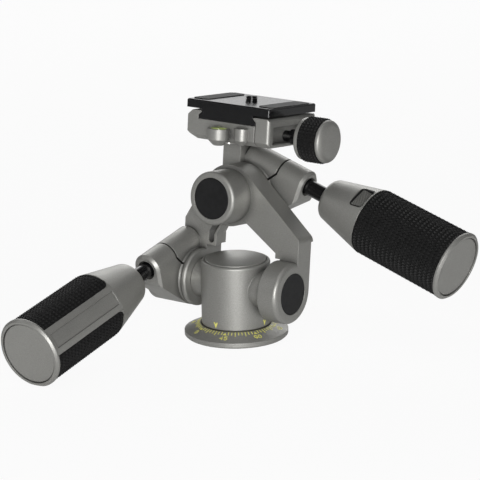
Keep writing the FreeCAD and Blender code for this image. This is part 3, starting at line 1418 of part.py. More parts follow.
def make_head():
    make_base_disc()
    make_pan_spindle()
    make_flange_screws()
    make_friction_washer()
    make_pan_retainer()
    make_pan_housing()
    make_pan_bush()
    make_pan_top_cap()
    make_tilt_shaft()
    make_shaft_ends()
    make_pan_lock()
    make_tilt_arm()
    make_tilt_bush()
    make_covers()
    make_lateral_shaft()
    make_lateral_nut()
    make_platform_bracket()
    make_bracket_screws()
    make_clamp_body()
    make_level()
    make_sliding_jaw()
    make_guide_pins()
    make_jaw_knob()
    make_camera_plate()
    make_plate_pads()
    make_camera_screw()
    make_handle("left", LEFT_CLAMP, 90 - d.left_twist.value)
    make_handle("right", RIGHT_CLAMP, 90 + d.right_twist.value)


def check_and_export():
    """Recompute, refuse any failed object or bad shape, then write one STEP file for each body."""
    doc.recompute()
    bodies = [thing for thing in doc.Objects if thing.TypeId == "PartDesign::Body"]
    for thing in doc.Objects:
        if "Invalid" in thing.State or "Error" in thing.State:
            raise RuntimeError(f"{thing.Label} failed: {thing.State}")
    for body in bodies:
        if body.Shape.isNull() or not body.Shape.isValid():
            raise RuntimeError(f"{body.Label} has no valid shape")
    os.makedirs("parts", exist_ok=True)
    for body in bodies:
        body.Shape.exportStep(f"parts/{body.Label}.step")
        print(f"{body.Label}: {len(body.Shape.Solids)} solid, {body.Shape.Volume:.0f} mm3")


make_head()
check_and_export()
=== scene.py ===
"""Looks of a three way pan and tilt head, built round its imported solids.

The part's own frame has its origin at the middle of the base's underside, Z up, X along the tilt
axis towards the right boss and -Y towards the operator. The mesh code works in millimetres, and
leaned() or standing() turns its points to metres. The arm stands leaned back about the tilt axis,
so whatever it carries is drawn upright and goes through leaned().
"""
import json
import math

import bmesh
import bpy
from mathutils import Matrix, Vector


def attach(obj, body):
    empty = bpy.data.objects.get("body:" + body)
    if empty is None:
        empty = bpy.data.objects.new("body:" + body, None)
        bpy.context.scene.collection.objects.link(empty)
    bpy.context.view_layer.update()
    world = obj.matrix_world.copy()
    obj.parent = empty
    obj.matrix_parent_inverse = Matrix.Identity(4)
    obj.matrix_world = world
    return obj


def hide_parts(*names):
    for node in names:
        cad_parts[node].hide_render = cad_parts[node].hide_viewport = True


MM = 0.001
FULL_TURN = 2 * math.pi
LEAN = math.radians(-6.2)
TILT_HEIGHT = 30.0

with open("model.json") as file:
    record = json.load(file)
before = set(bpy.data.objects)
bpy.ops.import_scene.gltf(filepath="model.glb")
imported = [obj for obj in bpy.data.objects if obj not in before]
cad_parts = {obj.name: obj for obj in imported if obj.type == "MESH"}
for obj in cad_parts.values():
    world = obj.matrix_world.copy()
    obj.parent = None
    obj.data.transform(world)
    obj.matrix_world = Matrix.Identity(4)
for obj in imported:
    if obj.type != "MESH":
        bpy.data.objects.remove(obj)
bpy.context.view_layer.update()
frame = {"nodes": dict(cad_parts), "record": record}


# ---------------------------------------------------------------- frames

def leaned(point):
    """A point in millimetres, drawn with the arm upright, as it stands, in metres."""
    x, y, z = point
    up = z - TILT_HEIGHT
    back = y * math.cos(LEAN) - up * math.sin(LEAN)
    high = TILT_HEIGHT + y * math.sin(LEAN) + up * math.cos(LEAN)
    return Vector((x, back, high)) * MM


def standing(point):
    """A point in millimetres on a piece that isn't leaned, in metres."""
    return Vector(point) * MM


class Frame:
    """An origin and three square directions in millimetres, leaned with the arm or not."""

    def __init__(self, origin, across, along, normal, place=leaned):
        self.origin = Vector(origin)
        self.across = Vector(across).normalized()
        self.along = Vector(along).normalized()
        self.normal = Vector(normal).normalized()
        self.place = place

    def at(self, x, y, z):
        """The point at x across, y along and z out along the normal."""
        point = self.origin + self.across * x + self.along * y + self.normal * z
        return self.place(point)

    def round_at(self, angle, radius, z):
        """The point at an angle and a radius about the normal, z along it."""
        return self.at(radius * math.cos(angle), radius * math.sin(angle), z)


HANDLE_OFF_SHAFT = 17.0


def handle_frame(clamp, direction, normal, side, twist):
    """The frame of a handle: its axis stands off the shaft, and its X meets the bare rib."""
    direction = Vector(direction).normalized()
    normal = Vector(normal).normalized()
    side = Vector(side).normalized()
    turn = math.radians(twist)
    across = side * math.cos(turn) + normal * math.sin(turn)
    along = normal * math.cos(turn) - side * math.sin(turn)
    return Frame(Vector(clamp) + normal * HANDLE_OFF_SHAFT, across, along, direction)


def droop(angle):
    """How far a direction that droops by an angle in degrees goes out and down."""
    return math.cos(math.radians(angle)), math.sin(math.radians(angle))


X_AXIS, Y_AXIS, Z_AXIS = (1, 0, 0), (0, 1, 0), (0, 0, 1)
LEFT_CLAMP, LEFT_DROOP, LEFT_TWIST = (-37.9, 0, 30), 17.8, 28.0
RIGHT_CLAMP, RIGHT_DROOP, RIGHT_TWIST = (-10, 31.6, 79.6), 17.1, 307.0
LEFT_OUT, LEFT_DOWN = droop(LEFT_DROOP)
RIGHT_OUT, RIGHT_DOWN = droop(RIGHT_DROOP)
HANDLES = {
    "left": handle_frame(LEFT_CLAMP, (0, -LEFT_OUT, -LEFT_DOWN), (0, -LEFT_DOWN, LEFT_OUT),
                         X_AXIS, LEFT_TWIST),
    "right": handle_frame(RIGHT_CLAMP, (RIGHT_OUT, 0, -RIGHT_DOWN), (RIGHT_DOWN, 0, RIGHT_OUT),
                          Y_AXIS, RIGHT_TWIST),
}
PLATE_MIDDLE, KNOB_HEIGHT = 6.6, 118.3
KNOB = Frame((0, PLATE_MIDDLE, KNOB_HEIGHT), Y_AXIS, Z_AXIS, X_AXIS)
STUD = Frame((0, PLATE_MIDDLE, 0), X_AXIS, Y_AXIS, Z_AXIS)
LEVEL = Frame((-3.1, -19.8, 0), X_AXIS, Y_AXIS, Z_AXIS)
DIAL = Frame((0, 0, 0), X_AXIS, Y_AXIS, Z_AXIS, standing)


# ---------------------------------------------------------------- meshes

def new_piece(name, vertices, faces, material, body, replaced=(), smooth=False):
    """A mesh in place of CAD nodes, or beside them, that rides on a body."""
    mesh = bpy.data.meshes.new(name)
    mesh.from_pydata([tuple(v) for v in vertices], [], faces)
    mesh.validate()
    piece = bpy.data.objects.new(name, mesh)
    bpy.context.scene.collection.objects.link(piece)
    work = bmesh.new()
    work.from_mesh(mesh)
    bmesh.ops.recalc_face_normals(work, faces=work.faces)
    work.to_mesh(mesh)
    work.free()
    mesh.polygons.foreach_set("use_smooth", [smooth] * len(mesh.polygons))
    mesh.materials.append(material)
    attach(piece, body)
    if replaced:
        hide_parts(*replaced)
    return piece


WELD_WITHIN = 1e-7


def weld(piece):
    """Joins points that lie together, such as the ring of points where a profile meets its axis."""
    work = bmesh.new()
    work.from_mesh(piece.data)
    bmesh.ops.remove_doubles(work, verts=work.verts, dist=WELD_WITHIN)
    bmesh.ops.recalc_face_normals(work, faces=work.faces)
    work.to_mesh(piece.data)
    work.free()


def sharpen(piece, degrees):
    """Edges steeper than this show as edges; the rest is shaded smooth."""
    limit = math.radians(degrees)
    mesh = piece.data
    work = bmesh.new()
    work.from_mesh(mesh)
    for edge in work.edges:
        edge.smooth = not (len(edge.link_faces) == 2 and edge.calc_face_angle() > limit)
    work.to_mesh(mesh)
    work.free()


def turned(name, axis, profile, look, body, replaced=(), segments=96, edge=30.0):
    """A closed profile of (radius, height) points turned right round a frame's normal."""
    vertices = [
        axis.round_at(FULL_TURN * column / segments, radius, height)
        for radius, height in profile for column in range(segments)
    ]
    faces = []
    for row in range(len(profile)):
        here, there = row * segments, (row + 1) % len(profile) * segments
        for column in range(segments):
            beside = (column + 1) % segments
            faces.append((here + column, here + beside, there + beside, there + column))
    piece = new_piece(name, vertices, faces, look, body, replaced, smooth=True)
    weld(piece)
    sharpen(piece, edge)


def walls(first, count, away):
    """The faces between a ring of points and a second ring that starts that many points away."""
    faces = []
    for k in range(first, first + count):
        n = first + (k - first + 1) % count
        faces.append((k, n, n + away, k + away))
    return faces


BACK = None


def relief_faces(columns, rows, closed, straight):
    """The faces of a shell whose outer skin is a grid of points and whose back is two rows of them.

    Points where column + row is odd stand proud. Straight splits every square the same way, which
    makes slanting ridges; otherwise the split joins the low corners and makes pyramids.
    """
    count = columns if closed else columns + 1
    faces = []
    for row in range(rows):
        for column in range(columns):
            beside = (column + 1) % count
            a, b = row * count + column, row * count + beside
            c, e = b + count, a + count
            if straight or (row + column) % 2:
                faces += [(a, b, e), (b, c, e)]
            else:
                faces += [(a, b, c), (a, c, e)]
    back = count * (rows + 1)
    last = back - count
    for column in range(columns):
        beside = (column + 1) % count
        faces.append((back + beside, back + column, back + count + column, back + count + beside))
        faces.append((column, beside, back + beside, back + column))
        faces.append((last + beside, last + column, back + count + column, back + count + beside))
    if not closed:
        for column in (0, columns):
            edge = [row * count + column for row in range(rows + 1)]
            faces.append((*edge, back + count + column, back + column))
    return faces


def relief(columns, rows, skin, tips, closed=False, straight=False):
    """Vertices and faces of a shell; skin(u, v, rise) gives its points, u and v in 0 to 1.

    The rise is 0 in the grooves and one of the two tips, in turn, from one row to the next. The
    back of the shell is where the rise is BACK.
    """
    count = columns if closed else columns + 1
    vertices = []
    for row in range(rows + 1):
        for column in range(count):
            inside = 0 < row < rows and (closed or 0 < column < columns)
            proud = inside and (row + column) % 2 == 1
            vertices.append(skin(column / columns, row / rows, tips[row % 2] if proud else 0.0))
    vertices += [skin(column / columns, end, BACK) for end in (0.0, 1.0) for column in range(count)]
    return vertices, relief_faces(columns, rows, closed, straight)


# ---------------------------------------------------------------- handles

RIB_ANGLE, GRIP_OFF_RIB = 47.0, 0.35
GRIP_START, GRIP_LENGTH = 78.5, 57.5
GRIP_FRONT_RAD, GRIP_BACK_RAD, GRIP_CORE_RAD = 19.3, 19.6, 17.3
GRIP_COLUMNS, GRIP_ROWS = 106, 40
KNURL_SUNK, KNURL_TIPS = 0.50, (0.12, 0.95)
SHELL_LIFT = 0.02


def grip_sleeve(side, axis):
    """One handle's knurled rubber, which leaves the bare rib free."""
    first = math.radians(RIB_ANGLE / 2 + GRIP_OFF_RIB)
    turn = FULL_TURN - 2 * first

    def skin(u, v, rise):
        outer = GRIP_FRONT_RAD + (GRIP_BACK_RAD - GRIP_FRONT_RAD) * v - KNURL_SUNK
        radius = GRIP_CORE_RAD + SHELL_LIFT if rise is BACK else outer + rise
        return axis.round_at(first + turn * u, radius, GRIP_START + GRIP_LENGTH * v)

    vertices, faces = relief(GRIP_COLUMNS, GRIP_ROWS, skin, KNURL_TIPS)
    new_piece(f"{side}_knurled_grip", vertices, faces, LOOKS["black_rubber"],
              f"{side}_handle", (f"{side}_grip_rubber",))


TONGUE_HALF, TONGUE_LOW, TONGUE_HIGH = 6.3, 69.2, 77.2
TONGUE_FLOOR, TONGUE_THICK, TONGUE_RIDGE = -14.8, 0.4, 0.45
TONGUE_COLUMNS, TONGUE_ROWS = 20, 12


def window_tongue(side, axis):
    """The ridged tongue that shows in the window of a handle's nose."""
    def skin(u, v, rise):
        out = 0.0 if rise is BACK else TONGUE_THICK + rise
        return axis.at(TONGUE_FLOOR - out, TONGUE_HALF * (2 * u - 1),
                       TONGUE_LOW + (TONGUE_HIGH - TONGUE_LOW) * v)

    tips = (TONGUE_RIDGE, TONGUE_RIDGE)
    vertices, faces = relief(TONGUE_COLUMNS, TONGUE_ROWS, skin, tips, straight=True)
    new_piece(f"{side}_window_tongue", vertices, faces, LOOKS["satin_grey_paint"],
              f"{side}_handle")


NOSE_START, NOSE_RAD = 50.4, 12.5


def nose_radius(height):
    """Radius of a handle's nose over its straight cone, which ends where the grip starts."""
    widening = (height - NOSE_START) * (GRIP_FRONT_RAD - NOSE_RAD) / (GRIP_START - NOSE_START)
    return NOSE_RAD + widening


ROUND_STEPS = 5


def round_corners(half, low, high, radius):
    """Points round a rectangle with rounded corners, as (sideways, height)."""
    centres = [(half - radius, high - radius), (radius - half, high - radius),
               (radius - half, low + radius), (half - radius, low + radius)]
    points = []
    for corner, (y, z) in enumerate(centres):
        for k in range(ROUND_STEPS + 1):
            angle = math.radians(90 * (corner + k / ROUND_STEPS))
            points.append((y + radius * math.cos(angle), z + radius * math.sin(angle)))
    return points


# Outlines and depths of the black sheet that paints shade on the window's walls.
SHADE_SHEET_OUTSIDE = round_corners(7.15, 68.45, 77.65, 1.9)
SHADE_SHEET_INSIDE = round_corners(6.4, 69.2, 77.3, 1.2)
SHADE_SHEET_FLOOR, SHADE_SHEET_SUNK = 14.88, 0.3


def window_shade_sheet(side, axis):
    """A black sheet round the walls of the window, from its floor nearly to the nose's surface:
    painted shade, standing in for the shadow on those walls.
    """
    vertices = []
    for outline in (SHADE_SHEET_OUTSIDE, SHADE_SHEET_INSIDE):
        vertices += [axis.at(-SHADE_SHEET_FLOOR, y, z) for y, z in outline]
        for y, z in outline:
            vertices.append(axis.at(SHADE_SHEET_SUNK - math.sqrt(nose_radius(z) ** 2 - y * y), y, z))
    count = len(SHADE_SHEET_OUTSIDE)
    faces = []
    for here, there in ((0, 1), (2, 3), (0, 2), (1, 3)):
        faces += walls(here * count, count, (there - here) * count)
    new_piece(f"{side}_window_shade_sheet", vertices, faces, LOOKS["black_plastic"],
              f"{side}_handle")


CORNER_RADIUS, CORNER_PROUD, CORNER_STEPS = 4.0, 0.32, 8


def grip_corners(side, axis):
    """The nose's two rounded corners, which fill the rubber's cut corners beside the rib."""
    outline = [(0.0, 0.0)]
    for k in range(CORNER_STEPS + 1):
        angle = math.radians(90 * k / CORNER_STEPS)
        outline.append(
            (CORNER_RADIUS * (1 - math.sin(angle)), CORNER_RADIUS * (1 - math.cos(angle))))
    count = len(outline)
    vertices, faces = [], []
    for flank in (-1, 1):
        edge = flank * math.radians(RIB_ANGLE / 2)
        first = len(vertices)
        for radius in (GRIP_CORE_RAD, GRIP_FRONT_RAD + CORNER_PROUD):
            vertices += [axis.round_at(edge + flank * x / GRIP_FRONT_RAD, radius, GRIP_START + z)
                         for x, z in outline]
        for level in (first, first + count):
            faces += [(level, level + k, level + k + 1) for k in range(1, count - 1)]
        faces += walls(first, count, count)
    new_piece(f"{side}_grip_corners", vertices, faces, LOOKS["satin_grey_paint"],
              f"{side}_handle")


# ---------------------------------------------------------------- jaw knob, screw and level

KNOB_RING_START, KNOB_RING_END, KNOB_CAP_END = 40.3, 51.9, 55.6
KNOB_HUB_RAD, KNOB_RING_RAD, KNOB_CAP_RAD = 10.0, 12.7, 12.0
KNOB_COLUMNS, KNOB_ROWS, KNOB_RING_GAP = 80, 10, 0.05
KNOB_CAP_EDGE = 40.0


def jaw_knob():
    """The jaw's clamping knob: its knurled rubber ring and its bevelled end cap."""
    low = KNOB_RING_START + KNOB_RING_GAP
    length = KNOB_RING_END - KNOB_RING_START - 2 * KNOB_RING_GAP

    def skin(u, v, rise):
        radius = KNOB_HUB_RAD + SHELL_LIFT if rise is BACK else KNOB_RING_RAD - KNURL_SUNK + rise
        return KNOB.round_at(FULL_TURN * u, radius, low + length * v)

    vertices, faces = relief(KNOB_COLUMNS, KNOB_ROWS, skin, KNURL_TIPS, closed=True)
    new_piece("jaw_knob_knurl", vertices, faces, LOOKS["black_rubber"],
              "jaw_knob", ("jaw_knob_ring",))
    start, end, rim = KNOB_RING_END + SHELL_LIFT, KNOB_CAP_END, KNOB_CAP_RAD
    turned("jaw_knob_end", KNOB, [
        (0.0, start), (rim - 0.5, start), (rim, start + 0.4), (rim + 0.05, start + 1.6),
        (rim - 0.35, start + 2.3), (rim - 2.3, end - 0.25), (rim - 3.2, end - 0.05), (4.0, end),
        (0.0, end),
    ], LOOKS["satin_grey_paint"], "jaw_knob", ("jaw_knob_cap",),
        edge=KNOB_CAP_EDGE)


STUD_RAD, THREAD_START, THREAD_PITCH = 3.175, 135.75, 1.27
THREAD_TURNS, THREAD_STEPS = 2, 40
THREAD_FOOT, THREAD_CREST = 0.52, 0.09
THREAD_SUNK, THREAD_TALL = 0.1, 0.45
THREAD_LEAST, THREAD_TAPER = 0.1, 8


def camera_thread():
    """The thread of the camera screw where it stands out of the plate: one ridge wound round it."""
    total = THREAD_TURNS * THREAD_STEPS
    vertices, faces = [], []
    for k in range(total + 1):
        around = FULL_TURN * k / THREAD_STEPS
        rise = THREAD_START + THREAD_PITCH * k / THREAD_STEPS
        grow = min(1.0, THREAD_LEAST + k / THREAD_TAPER, THREAD_LEAST + (total - k) / THREAD_TAPER)
        foot, crest = STUD_RAD - THREAD_SUNK, STUD_RAD + THREAD_TALL * grow
        section = ((foot, -THREAD_FOOT), (crest, -THREAD_CREST),
                   (crest, THREAD_CREST), (foot, THREAD_FOOT))
        for radius, offset in section:
            vertices.append(STUD.round_at(around, radius, rise + offset * grow))
    for k in range(total):
        faces += walls(4 * k, 4, 4)
    faces += [(0, 1, 2, 3), tuple(4 * total + e for e in range(4))]
    new_piece("camera_screw_thread", vertices, faces, LOOKS["thread_steel"],
              "camera_screw")


CROWN_EDGE, BUBBLE_EDGE = 50.0, 60.0
CROWN_SEGMENTS, CIRCLE_SEGMENTS, BUBBLE_SEGMENTS = 64, 48, 32


def round_level():
    """The round level's domed crown, the black circle on it and the bubble."""
    turned("level_crown", LEVEL, [
        (0.0, 118.2), (3.7, 118.2), (3.75, 121.3), (4.65, 121.4), (4.6, 121.65), (3.8, 121.95),
        (2.4, 122.15), (1.2, 122.2), (0.0, 122.2),
    ], LOOKS["level_fluid"], "platform", ("level_vial",), CROWN_SEGMENTS, CROWN_EDGE)
    turned("level_circle", LEVEL, [(2.0, 122.05), (2.25, 122.05), (2.25, 122.22), (2.0, 122.24)],
           LOOKS["black_plastic"], "platform", segments=CIRCLE_SEGMENTS)
    turned("level_bubble", LEVEL, [
        (0.0, 122.05), (1.4, 122.1), (1.1, 122.26), (0.5, 122.32), (0.0, 122.33),
    ], LOOKS["bubble"], "platform", (), BUBBLE_SEGMENTS, BUBBLE_EDGE)


# ---------------------------------------------------------------- marks

class Marks:
    """Raised strokes and patches of paint on a surface, gathered into one mesh.

    Points are given to the side and up, in millimetres, on the surface that place() describes:
    place(sideways, up, proud) is the point there, that far out of the surface.
    """

    PROUD, SUNK, WIDTH = 0.07, -0.15, 0.5

    def __init__(self):
        self.place = None
        self.vertices, self.faces = [], []

    def patch(self, outline):
        """A raised patch inside an outline."""
        first, count = len(self.vertices), len(outline)
        for level in (self.SUNK, self.PROUD):
            self.vertices += [self.place(x, y, level) for x, y in outline]
        self.faces.append(tuple(first + count + k for k in range(count)))
        self.faces.append(tuple(first + k for k in reversed(range(count))))
        self.faces += walls(first, count, count)

    def stroke(self, points, closed=False):
        """A line of even width through points."""
        count = len(points)
        left, right = [], []
        for k, (x, y) in enumerate(points):
            before = points[k - 1] if closed or k else points[k]
            after = points[(k + 1) % count] if closed or k < count - 1 else points[k]
            run, rise = after[0] - before[0], after[1] - before[1]
            size = math.hypot(run, rise) * 2 / self.WIDTH
            left.append((x - rise / size, y + run / size))
            right.append((x + rise / size, y - run / size))
        for k in range(count if closed else count - 1):
            n = (k + 1) % count
            self.patch([left[k], left[n], right[n], right[k]])

    def build(self, name, body):
        """The gathered marks as one piece that rides on a body."""
        new_piece(name, self.vertices, self.faces, LOOKS["dial_yellow"], body)


def oval(across, high, wide, tall, first=0, last=360):
    """Points on an oval from one angle to another, in degrees."""
    steps = max(6, int(abs(last - first) / 20))
    angles = [math.radians(first + (last - first) * k / steps) for k in range(steps + 1)]
    return [(across + wide / 2 * math.cos(a), high + tall / 2 * math.sin(a)) for a in angles]


# Each digit's strokes as (points, closed), with the digit's foot at 0 and its top at DIGIT_TALL.
DIGITS = {
    "0": [(oval(0.0, 1.5, 1.7, 2.7)[:-1], True)],
    "4": [([(0.4, 0.0), (0.4, 2.9), (-0.9, 1.0), (1.0, 1.0)], False)],
    "5": [([(0.8, 2.8), (-0.65, 2.8), (-0.75, 1.7)]
           + oval(-0.02, 1.0, 1.75, 1.8, 125, -140), False)],
    "9": [(oval(0.0, 2.0, 1.7, 1.75)[:-1], True),
          ([(0.85, 2.0), (0.7, 0.95), (-0.1, 0.1)], False)],
}
DIGIT_TALL, DIGIT_STEP, DIGIT_TOP = 3.0, 2.5, 3.8
CONE_TOP_RAD, CONE_TOP, CONE_FOOT_RAD, CONE_FOOT = 21.0, 7.0, 30.0, 3.2
DIAL_ZERO, DIAL_STEP, DIAL_MARKS = -115.9, 5, 72
MARKS_PER_LABEL, MARKS_PER_LONG = 9, 3
MARK_START, LONG_MARK_END, SHORT_MARK_END = 0.1, 3.5, 2.5
LABELS = ("0", "45", "90", "45")
LABEL_WEDGE = [(-1.1, 2.7), (1.1, 2.7), (0.0, 0.7)]


def on_cone(around):
    """The surface of the base's cone about an angle in degrees; up runs down it from its top."""
    slope = math.hypot(CONE_FOOT_RAD - CONE_TOP_RAD, CONE_TOP - CONE_FOOT)
    out, down = (CONE_FOOT_RAD - CONE_TOP_RAD) / slope, (CONE_TOP - CONE_FOOT) / slope

    def place(x, y, proud):
        radius = CONE_TOP_RAD + y * out + proud * down
        height = CONE_TOP - y * down + proud * out
        return DIAL.round_at(math.radians(around) + x / radius, radius, height)

    return place


def dial():
    """Degree marks right round the base every 5 degrees, with 0, 45, 90 and 45 in turn."""
    marks = Marks()
    for step in range(DIAL_MARKS):
        marks.place = on_cone(DIAL_ZERO + DIAL_STEP * step)
        if step % MARKS_PER_LABEL:
            end = SHORT_MARK_END if step % MARKS_PER_LONG else LONG_MARK_END
            marks.stroke([(0.0, MARK_START), (0.0, end)])
            continue
        marks.patch(LABEL_WEDGE)
        text = LABELS[step // MARKS_PER_LABEL % len(LABELS)]
        for k, digit in enumerate(text):
            shift = (k - (len(text) - 1) / 2) * DIGIT_STEP
            for points, closed in DIGITS[digit]:
                marks.stroke([(x + shift, DIGIT_TOP + DIGIT_TALL - y) for x, y in points], closed)
    marks.build("dial_marks", "base")


HOUSING_RAD, INDEX_FOOT = 20.0, 8.3
INDEX_ANGLES = (-90.0, 0.0)


def index_marks():
    """The two pointers on the housing's foot that the dial is read against."""
    marks = Marks()
    for around in INDEX_ANGLES:
        def place(x, y, proud, turn=math.radians(around)):
            return DIAL.round_at(turn + x / HOUSING_RAD, HOUSING_RAD + proud, INDEX_FOOT + y)

        marks.place = place
        for side in (-1, 1):
            marks.patch([(0.0, 0.0), (side * 1.4, 3.4), (side * 0.6, 3.4), (0.0, 2.0)])
    marks.build("index_marks", "pan_turret")


# ---------------------------------------------------------------- materials

class Graph:
    """A new material with its Principled shader, and short ways to add nodes to it."""

    NOISE_MIDDLE, OPENNESS = (0.3, 0.7), (0.25, 0.95)
    HOLLOW_SAMPLES, EDGE_SAMPLES = 8, 6

    def __init__(self, name, colour, roughness, metallic=0.0):
        self.material = bpy.data.materials.new(name)
        self.material.use_nodes = True
        self.nodes = self.material.node_tree.nodes
        self.links = self.material.node_tree.links
        self.shader = self.nodes["Principled BSDF"]
        self.shader.inputs["Base Color"].default_value = (*colour, 1.0)
        self.shader.inputs["Roughness"].default_value = roughness
        self.shader.inputs["Metallic"].default_value = metallic
        self.place = self.nodes.new("ShaderNodeTexCoord").outputs["Object"]

    def noise(self, scale, detail=2.0, stretch=None):
        """Noise in the object's own space: scale is in features per metre."""
        node = self.nodes.new("ShaderNodeTexNoise")
        node.inputs["Scale"].default_value = scale
        node.inputs["Detail"].default_value = detail
        if stretch:
            mapping = self.nodes.new("ShaderNodeMapping")
            mapping.inputs["Scale"].default_value = stretch
            self.links.new(self.place, mapping.inputs["Vector"])
            self.links.new(mapping.outputs["Vector"], node.inputs["Vector"])
        else:
            self.links.new(self.place, node.inputs["Vector"])
        return node.outputs["Fac"]

    def remap(self, value, span, low, high):
        """A value, stretched so that a span of it runs from low to high."""
        node = self.nodes.new("ShaderNodeMapRange")
        node.inputs["From Min"].default_value = span[0]
        node.inputs["From Max"].default_value = span[1]
        node.inputs["To Min"].default_value = low
        node.inputs["To Max"].default_value = high
        self.links.new(value, node.inputs["Value"])
        return node.outputs["Result"]

    def spread(self, noise, low, high):
        """The middle of a noise, stretched to run from low to high."""
        return self.remap(noise, self.NOISE_MIDDLE, low, high)

    def colours(self, value, dark, light):
        """A colour between two, by a value from 0 to 1."""
        node = self.nodes.new("ShaderNodeMix")
        node.data_type = "RGBA"
        node.inputs["A"].default_value = (*dark, 1.0)
        node.inputs["B"].default_value = (*light, 1.0)
        self.links.new(value, node.inputs["Factor"])
        return node.outputs["Result"]

    def bump(self, value, distance, strength=1.0, under=None):
        """Normals bumped by a value, on top of the normals given as under."""
        node = self.nodes.new("ShaderNodeBump")
        node.inputs["Distance"].default_value = distance
        node.inputs["Strength"].default_value = strength
        self.links.new(value, node.inputs["Height"])
        if under:
            self.links.new(under, node.inputs["Normal"])
        return node.outputs["Normal"]

    def painted_hollow_shade(self, colour, depth, shade):
        """A colour darkened to a share of itself in the node's own grooves and corners: painted
        shade, found by ambient occlusion.
        """
        open_air = self.nodes.new("ShaderNodeAmbientOcclusion")
        open_air.samples = self.HOLLOW_SAMPLES
        open_air.only_local = True
        open_air.inputs["Distance"].default_value = depth
        share = self.remap(open_air.outputs["AO"], self.OPENNESS, shade, 1.0)
        darker = self.nodes.new("ShaderNodeVectorMath")
        darker.operation = "SCALE"
        self.links.new(colour, darker.inputs[0])
        self.links.new(share, darker.inputs["Scale"])
        return darker.outputs["Vector"]

    def soft_edges(self, radius):
        """Normals that turn over the sharp edges, as on a part that has been tumbled or cast."""
        node = self.nodes.new("ShaderNodeBevel")
        node.samples = self.EDGE_SAMPLES
        node.inputs["Radius"].default_value = radius
        return node.outputs["Normal"]

    def feed(self, socket, value):
        """Links a value to one of the shader's inputs."""
        self.links.new(value, self.shader.inputs[socket])


PAINT_ROUGHNESS, PAINT_METALLIC = (0.42, 0.52), 0.65
# Reach and darkness of the painted shade in the paint's grooves and corners.
HOLLOW_DEPTH, HOLLOW_SHADE = 0.006, 0.22
PAINT_EDGE, BLASTED_EDGE = 0.0005, 0.0004


def satin_paint(name, dark, light):
    """Fine metallic paint on a casting: faint flakes, slow drift of gloss, orange-peel bump, and
    painted shade in its grooves and corners.
    """
    graph = Graph(name, light, PAINT_ROUGHNESS[0], PAINT_METALLIC)
    flakes = graph.noise(5200.0, 1.0)
    drift = graph.noise(55.0)
    tone = graph.spread(graph.noise(2600.0), 0.0, 1.0)
    colour = graph.colours(tone, dark, light)
    # The base colour darkens in the casting's own grooves and corners: painted shade.
    graph.feed("Base Color", graph.painted_hollow_shade(colour, HOLLOW_DEPTH, HOLLOW_SHADE))
    graph.feed("Roughness", graph.spread(drift, *PAINT_ROUGHNESS))
    peel = graph.bump(graph.noise(900.0, 1.0), 0.00002, 0.3, graph.soft_edges(PAINT_EDGE))
    graph.feed("Normal", graph.bump(flakes, 0.000012, 0.4, peel))
    return graph.material


def turned_steel(name, tone, roughness):
    """Turned metal with a fine grain."""
    graph = Graph(name, tone, roughness, 1.0)
    grain = graph.noise(1400.0, 3.0, (1.0, 1.0, 9.0))
    low = tuple(0.78 * channel for channel in tone)
    graph.feed("Base Color", graph.colours(graph.spread(grain, 0.0, 1.0), low, tone))
    graph.feed("Roughness", graph.spread(grain, roughness - 0.06, roughness + 0.08))
    graph.feed("Normal", graph.bump(grain, 0.000006, 0.5))
    return graph.material


def black_gloss(name, dark, light):
    """Black-coated rod: smooth, glossy, with a barely uneven coat."""
    graph = Graph(name, (0.004, 0.004, 0.0045), 0.16)
    haze = graph.noise(160.0, 3.0)
    graph.feed("Roughness", graph.spread(haze, 0.12, 0.20))
    graph.feed("Base Color", graph.colours(graph.spread(haze, 0.0, 1.0), dark, light))
    graph.feed("Normal", graph.bump(graph.noise(700.0, 1.0), 0.000006, 0.3))
    return graph.material


def anodised(name, dark, light, roughness):
    """Black anodised alloy: a fine blasted grain under a soft gloss."""
    graph = Graph(name, light, roughness)
    grain = graph.noise(3800.0)
    tone = graph.spread(graph.noise(240.0, 3.0), 0.0, 1.0)
    graph.feed("Base Color", graph.colours(tone, dark, light))
    graph.feed("Roughness", graph.spread(grain, roughness - 0.05, roughness + 0.07))
    graph.feed("Normal", graph.bump(grain, 0.00001, 0.5, graph.soft_edges(BLASTED_EDGE)))
    return graph.material


def moulded(name, dark, light, roughness, grain_depth, gloss=0.5):
    """Moulded plastic or rubber: fine spark-eroded grain and a faint drift of tone."""
    graph = Graph(name, light, roughness)
    grain = graph.noise(2300.0, 3.0)
    tone = graph.spread(graph.noise(300.0, 3.0), 0.0, 1.0)
    graph.feed("Base Color", graph.colours(tone, dark, light))
    graph.feed("Roughness", graph.spread(grain, roughness - 0.06, roughness + 0.08))
    graph.feed("Normal", graph.bump(grain, grain_depth, 0.6))
    graph.shader.inputs["Specular IOR Level"].default_value = gloss
    return graph.material


def level_liquid(name, dark, light):
    """Yellow-green liquid under a clear crown."""
    graph = Graph(name, light, 0.08)
    swirl = graph.spread(graph.noise(420.0), 0.0, 1.0)
    graph.feed("Base Color", graph.colours(swirl, dark, light))
    graph.shader.inputs["Coat Weight"].default_value = 0.9
    graph.shader.inputs["Coat Roughness"].default_value = 0.03
    return graph.material


def dial_paint(name, dark, light):
    """Yellow paint filled into the dial's marks, a little uneven."""
    graph = Graph(name, (0.66, 0.60, 0.08), 0.5)
    patchy = graph.spread(graph.noise(2600.0, 3.0), 0.0, 1.0)
    graph.feed("Base Color", graph.colours(patchy, dark, light))
    graph.feed("Normal", graph.bump(graph.noise(5000.0, 1.0), 0.00001, 0.4))
    return graph.material


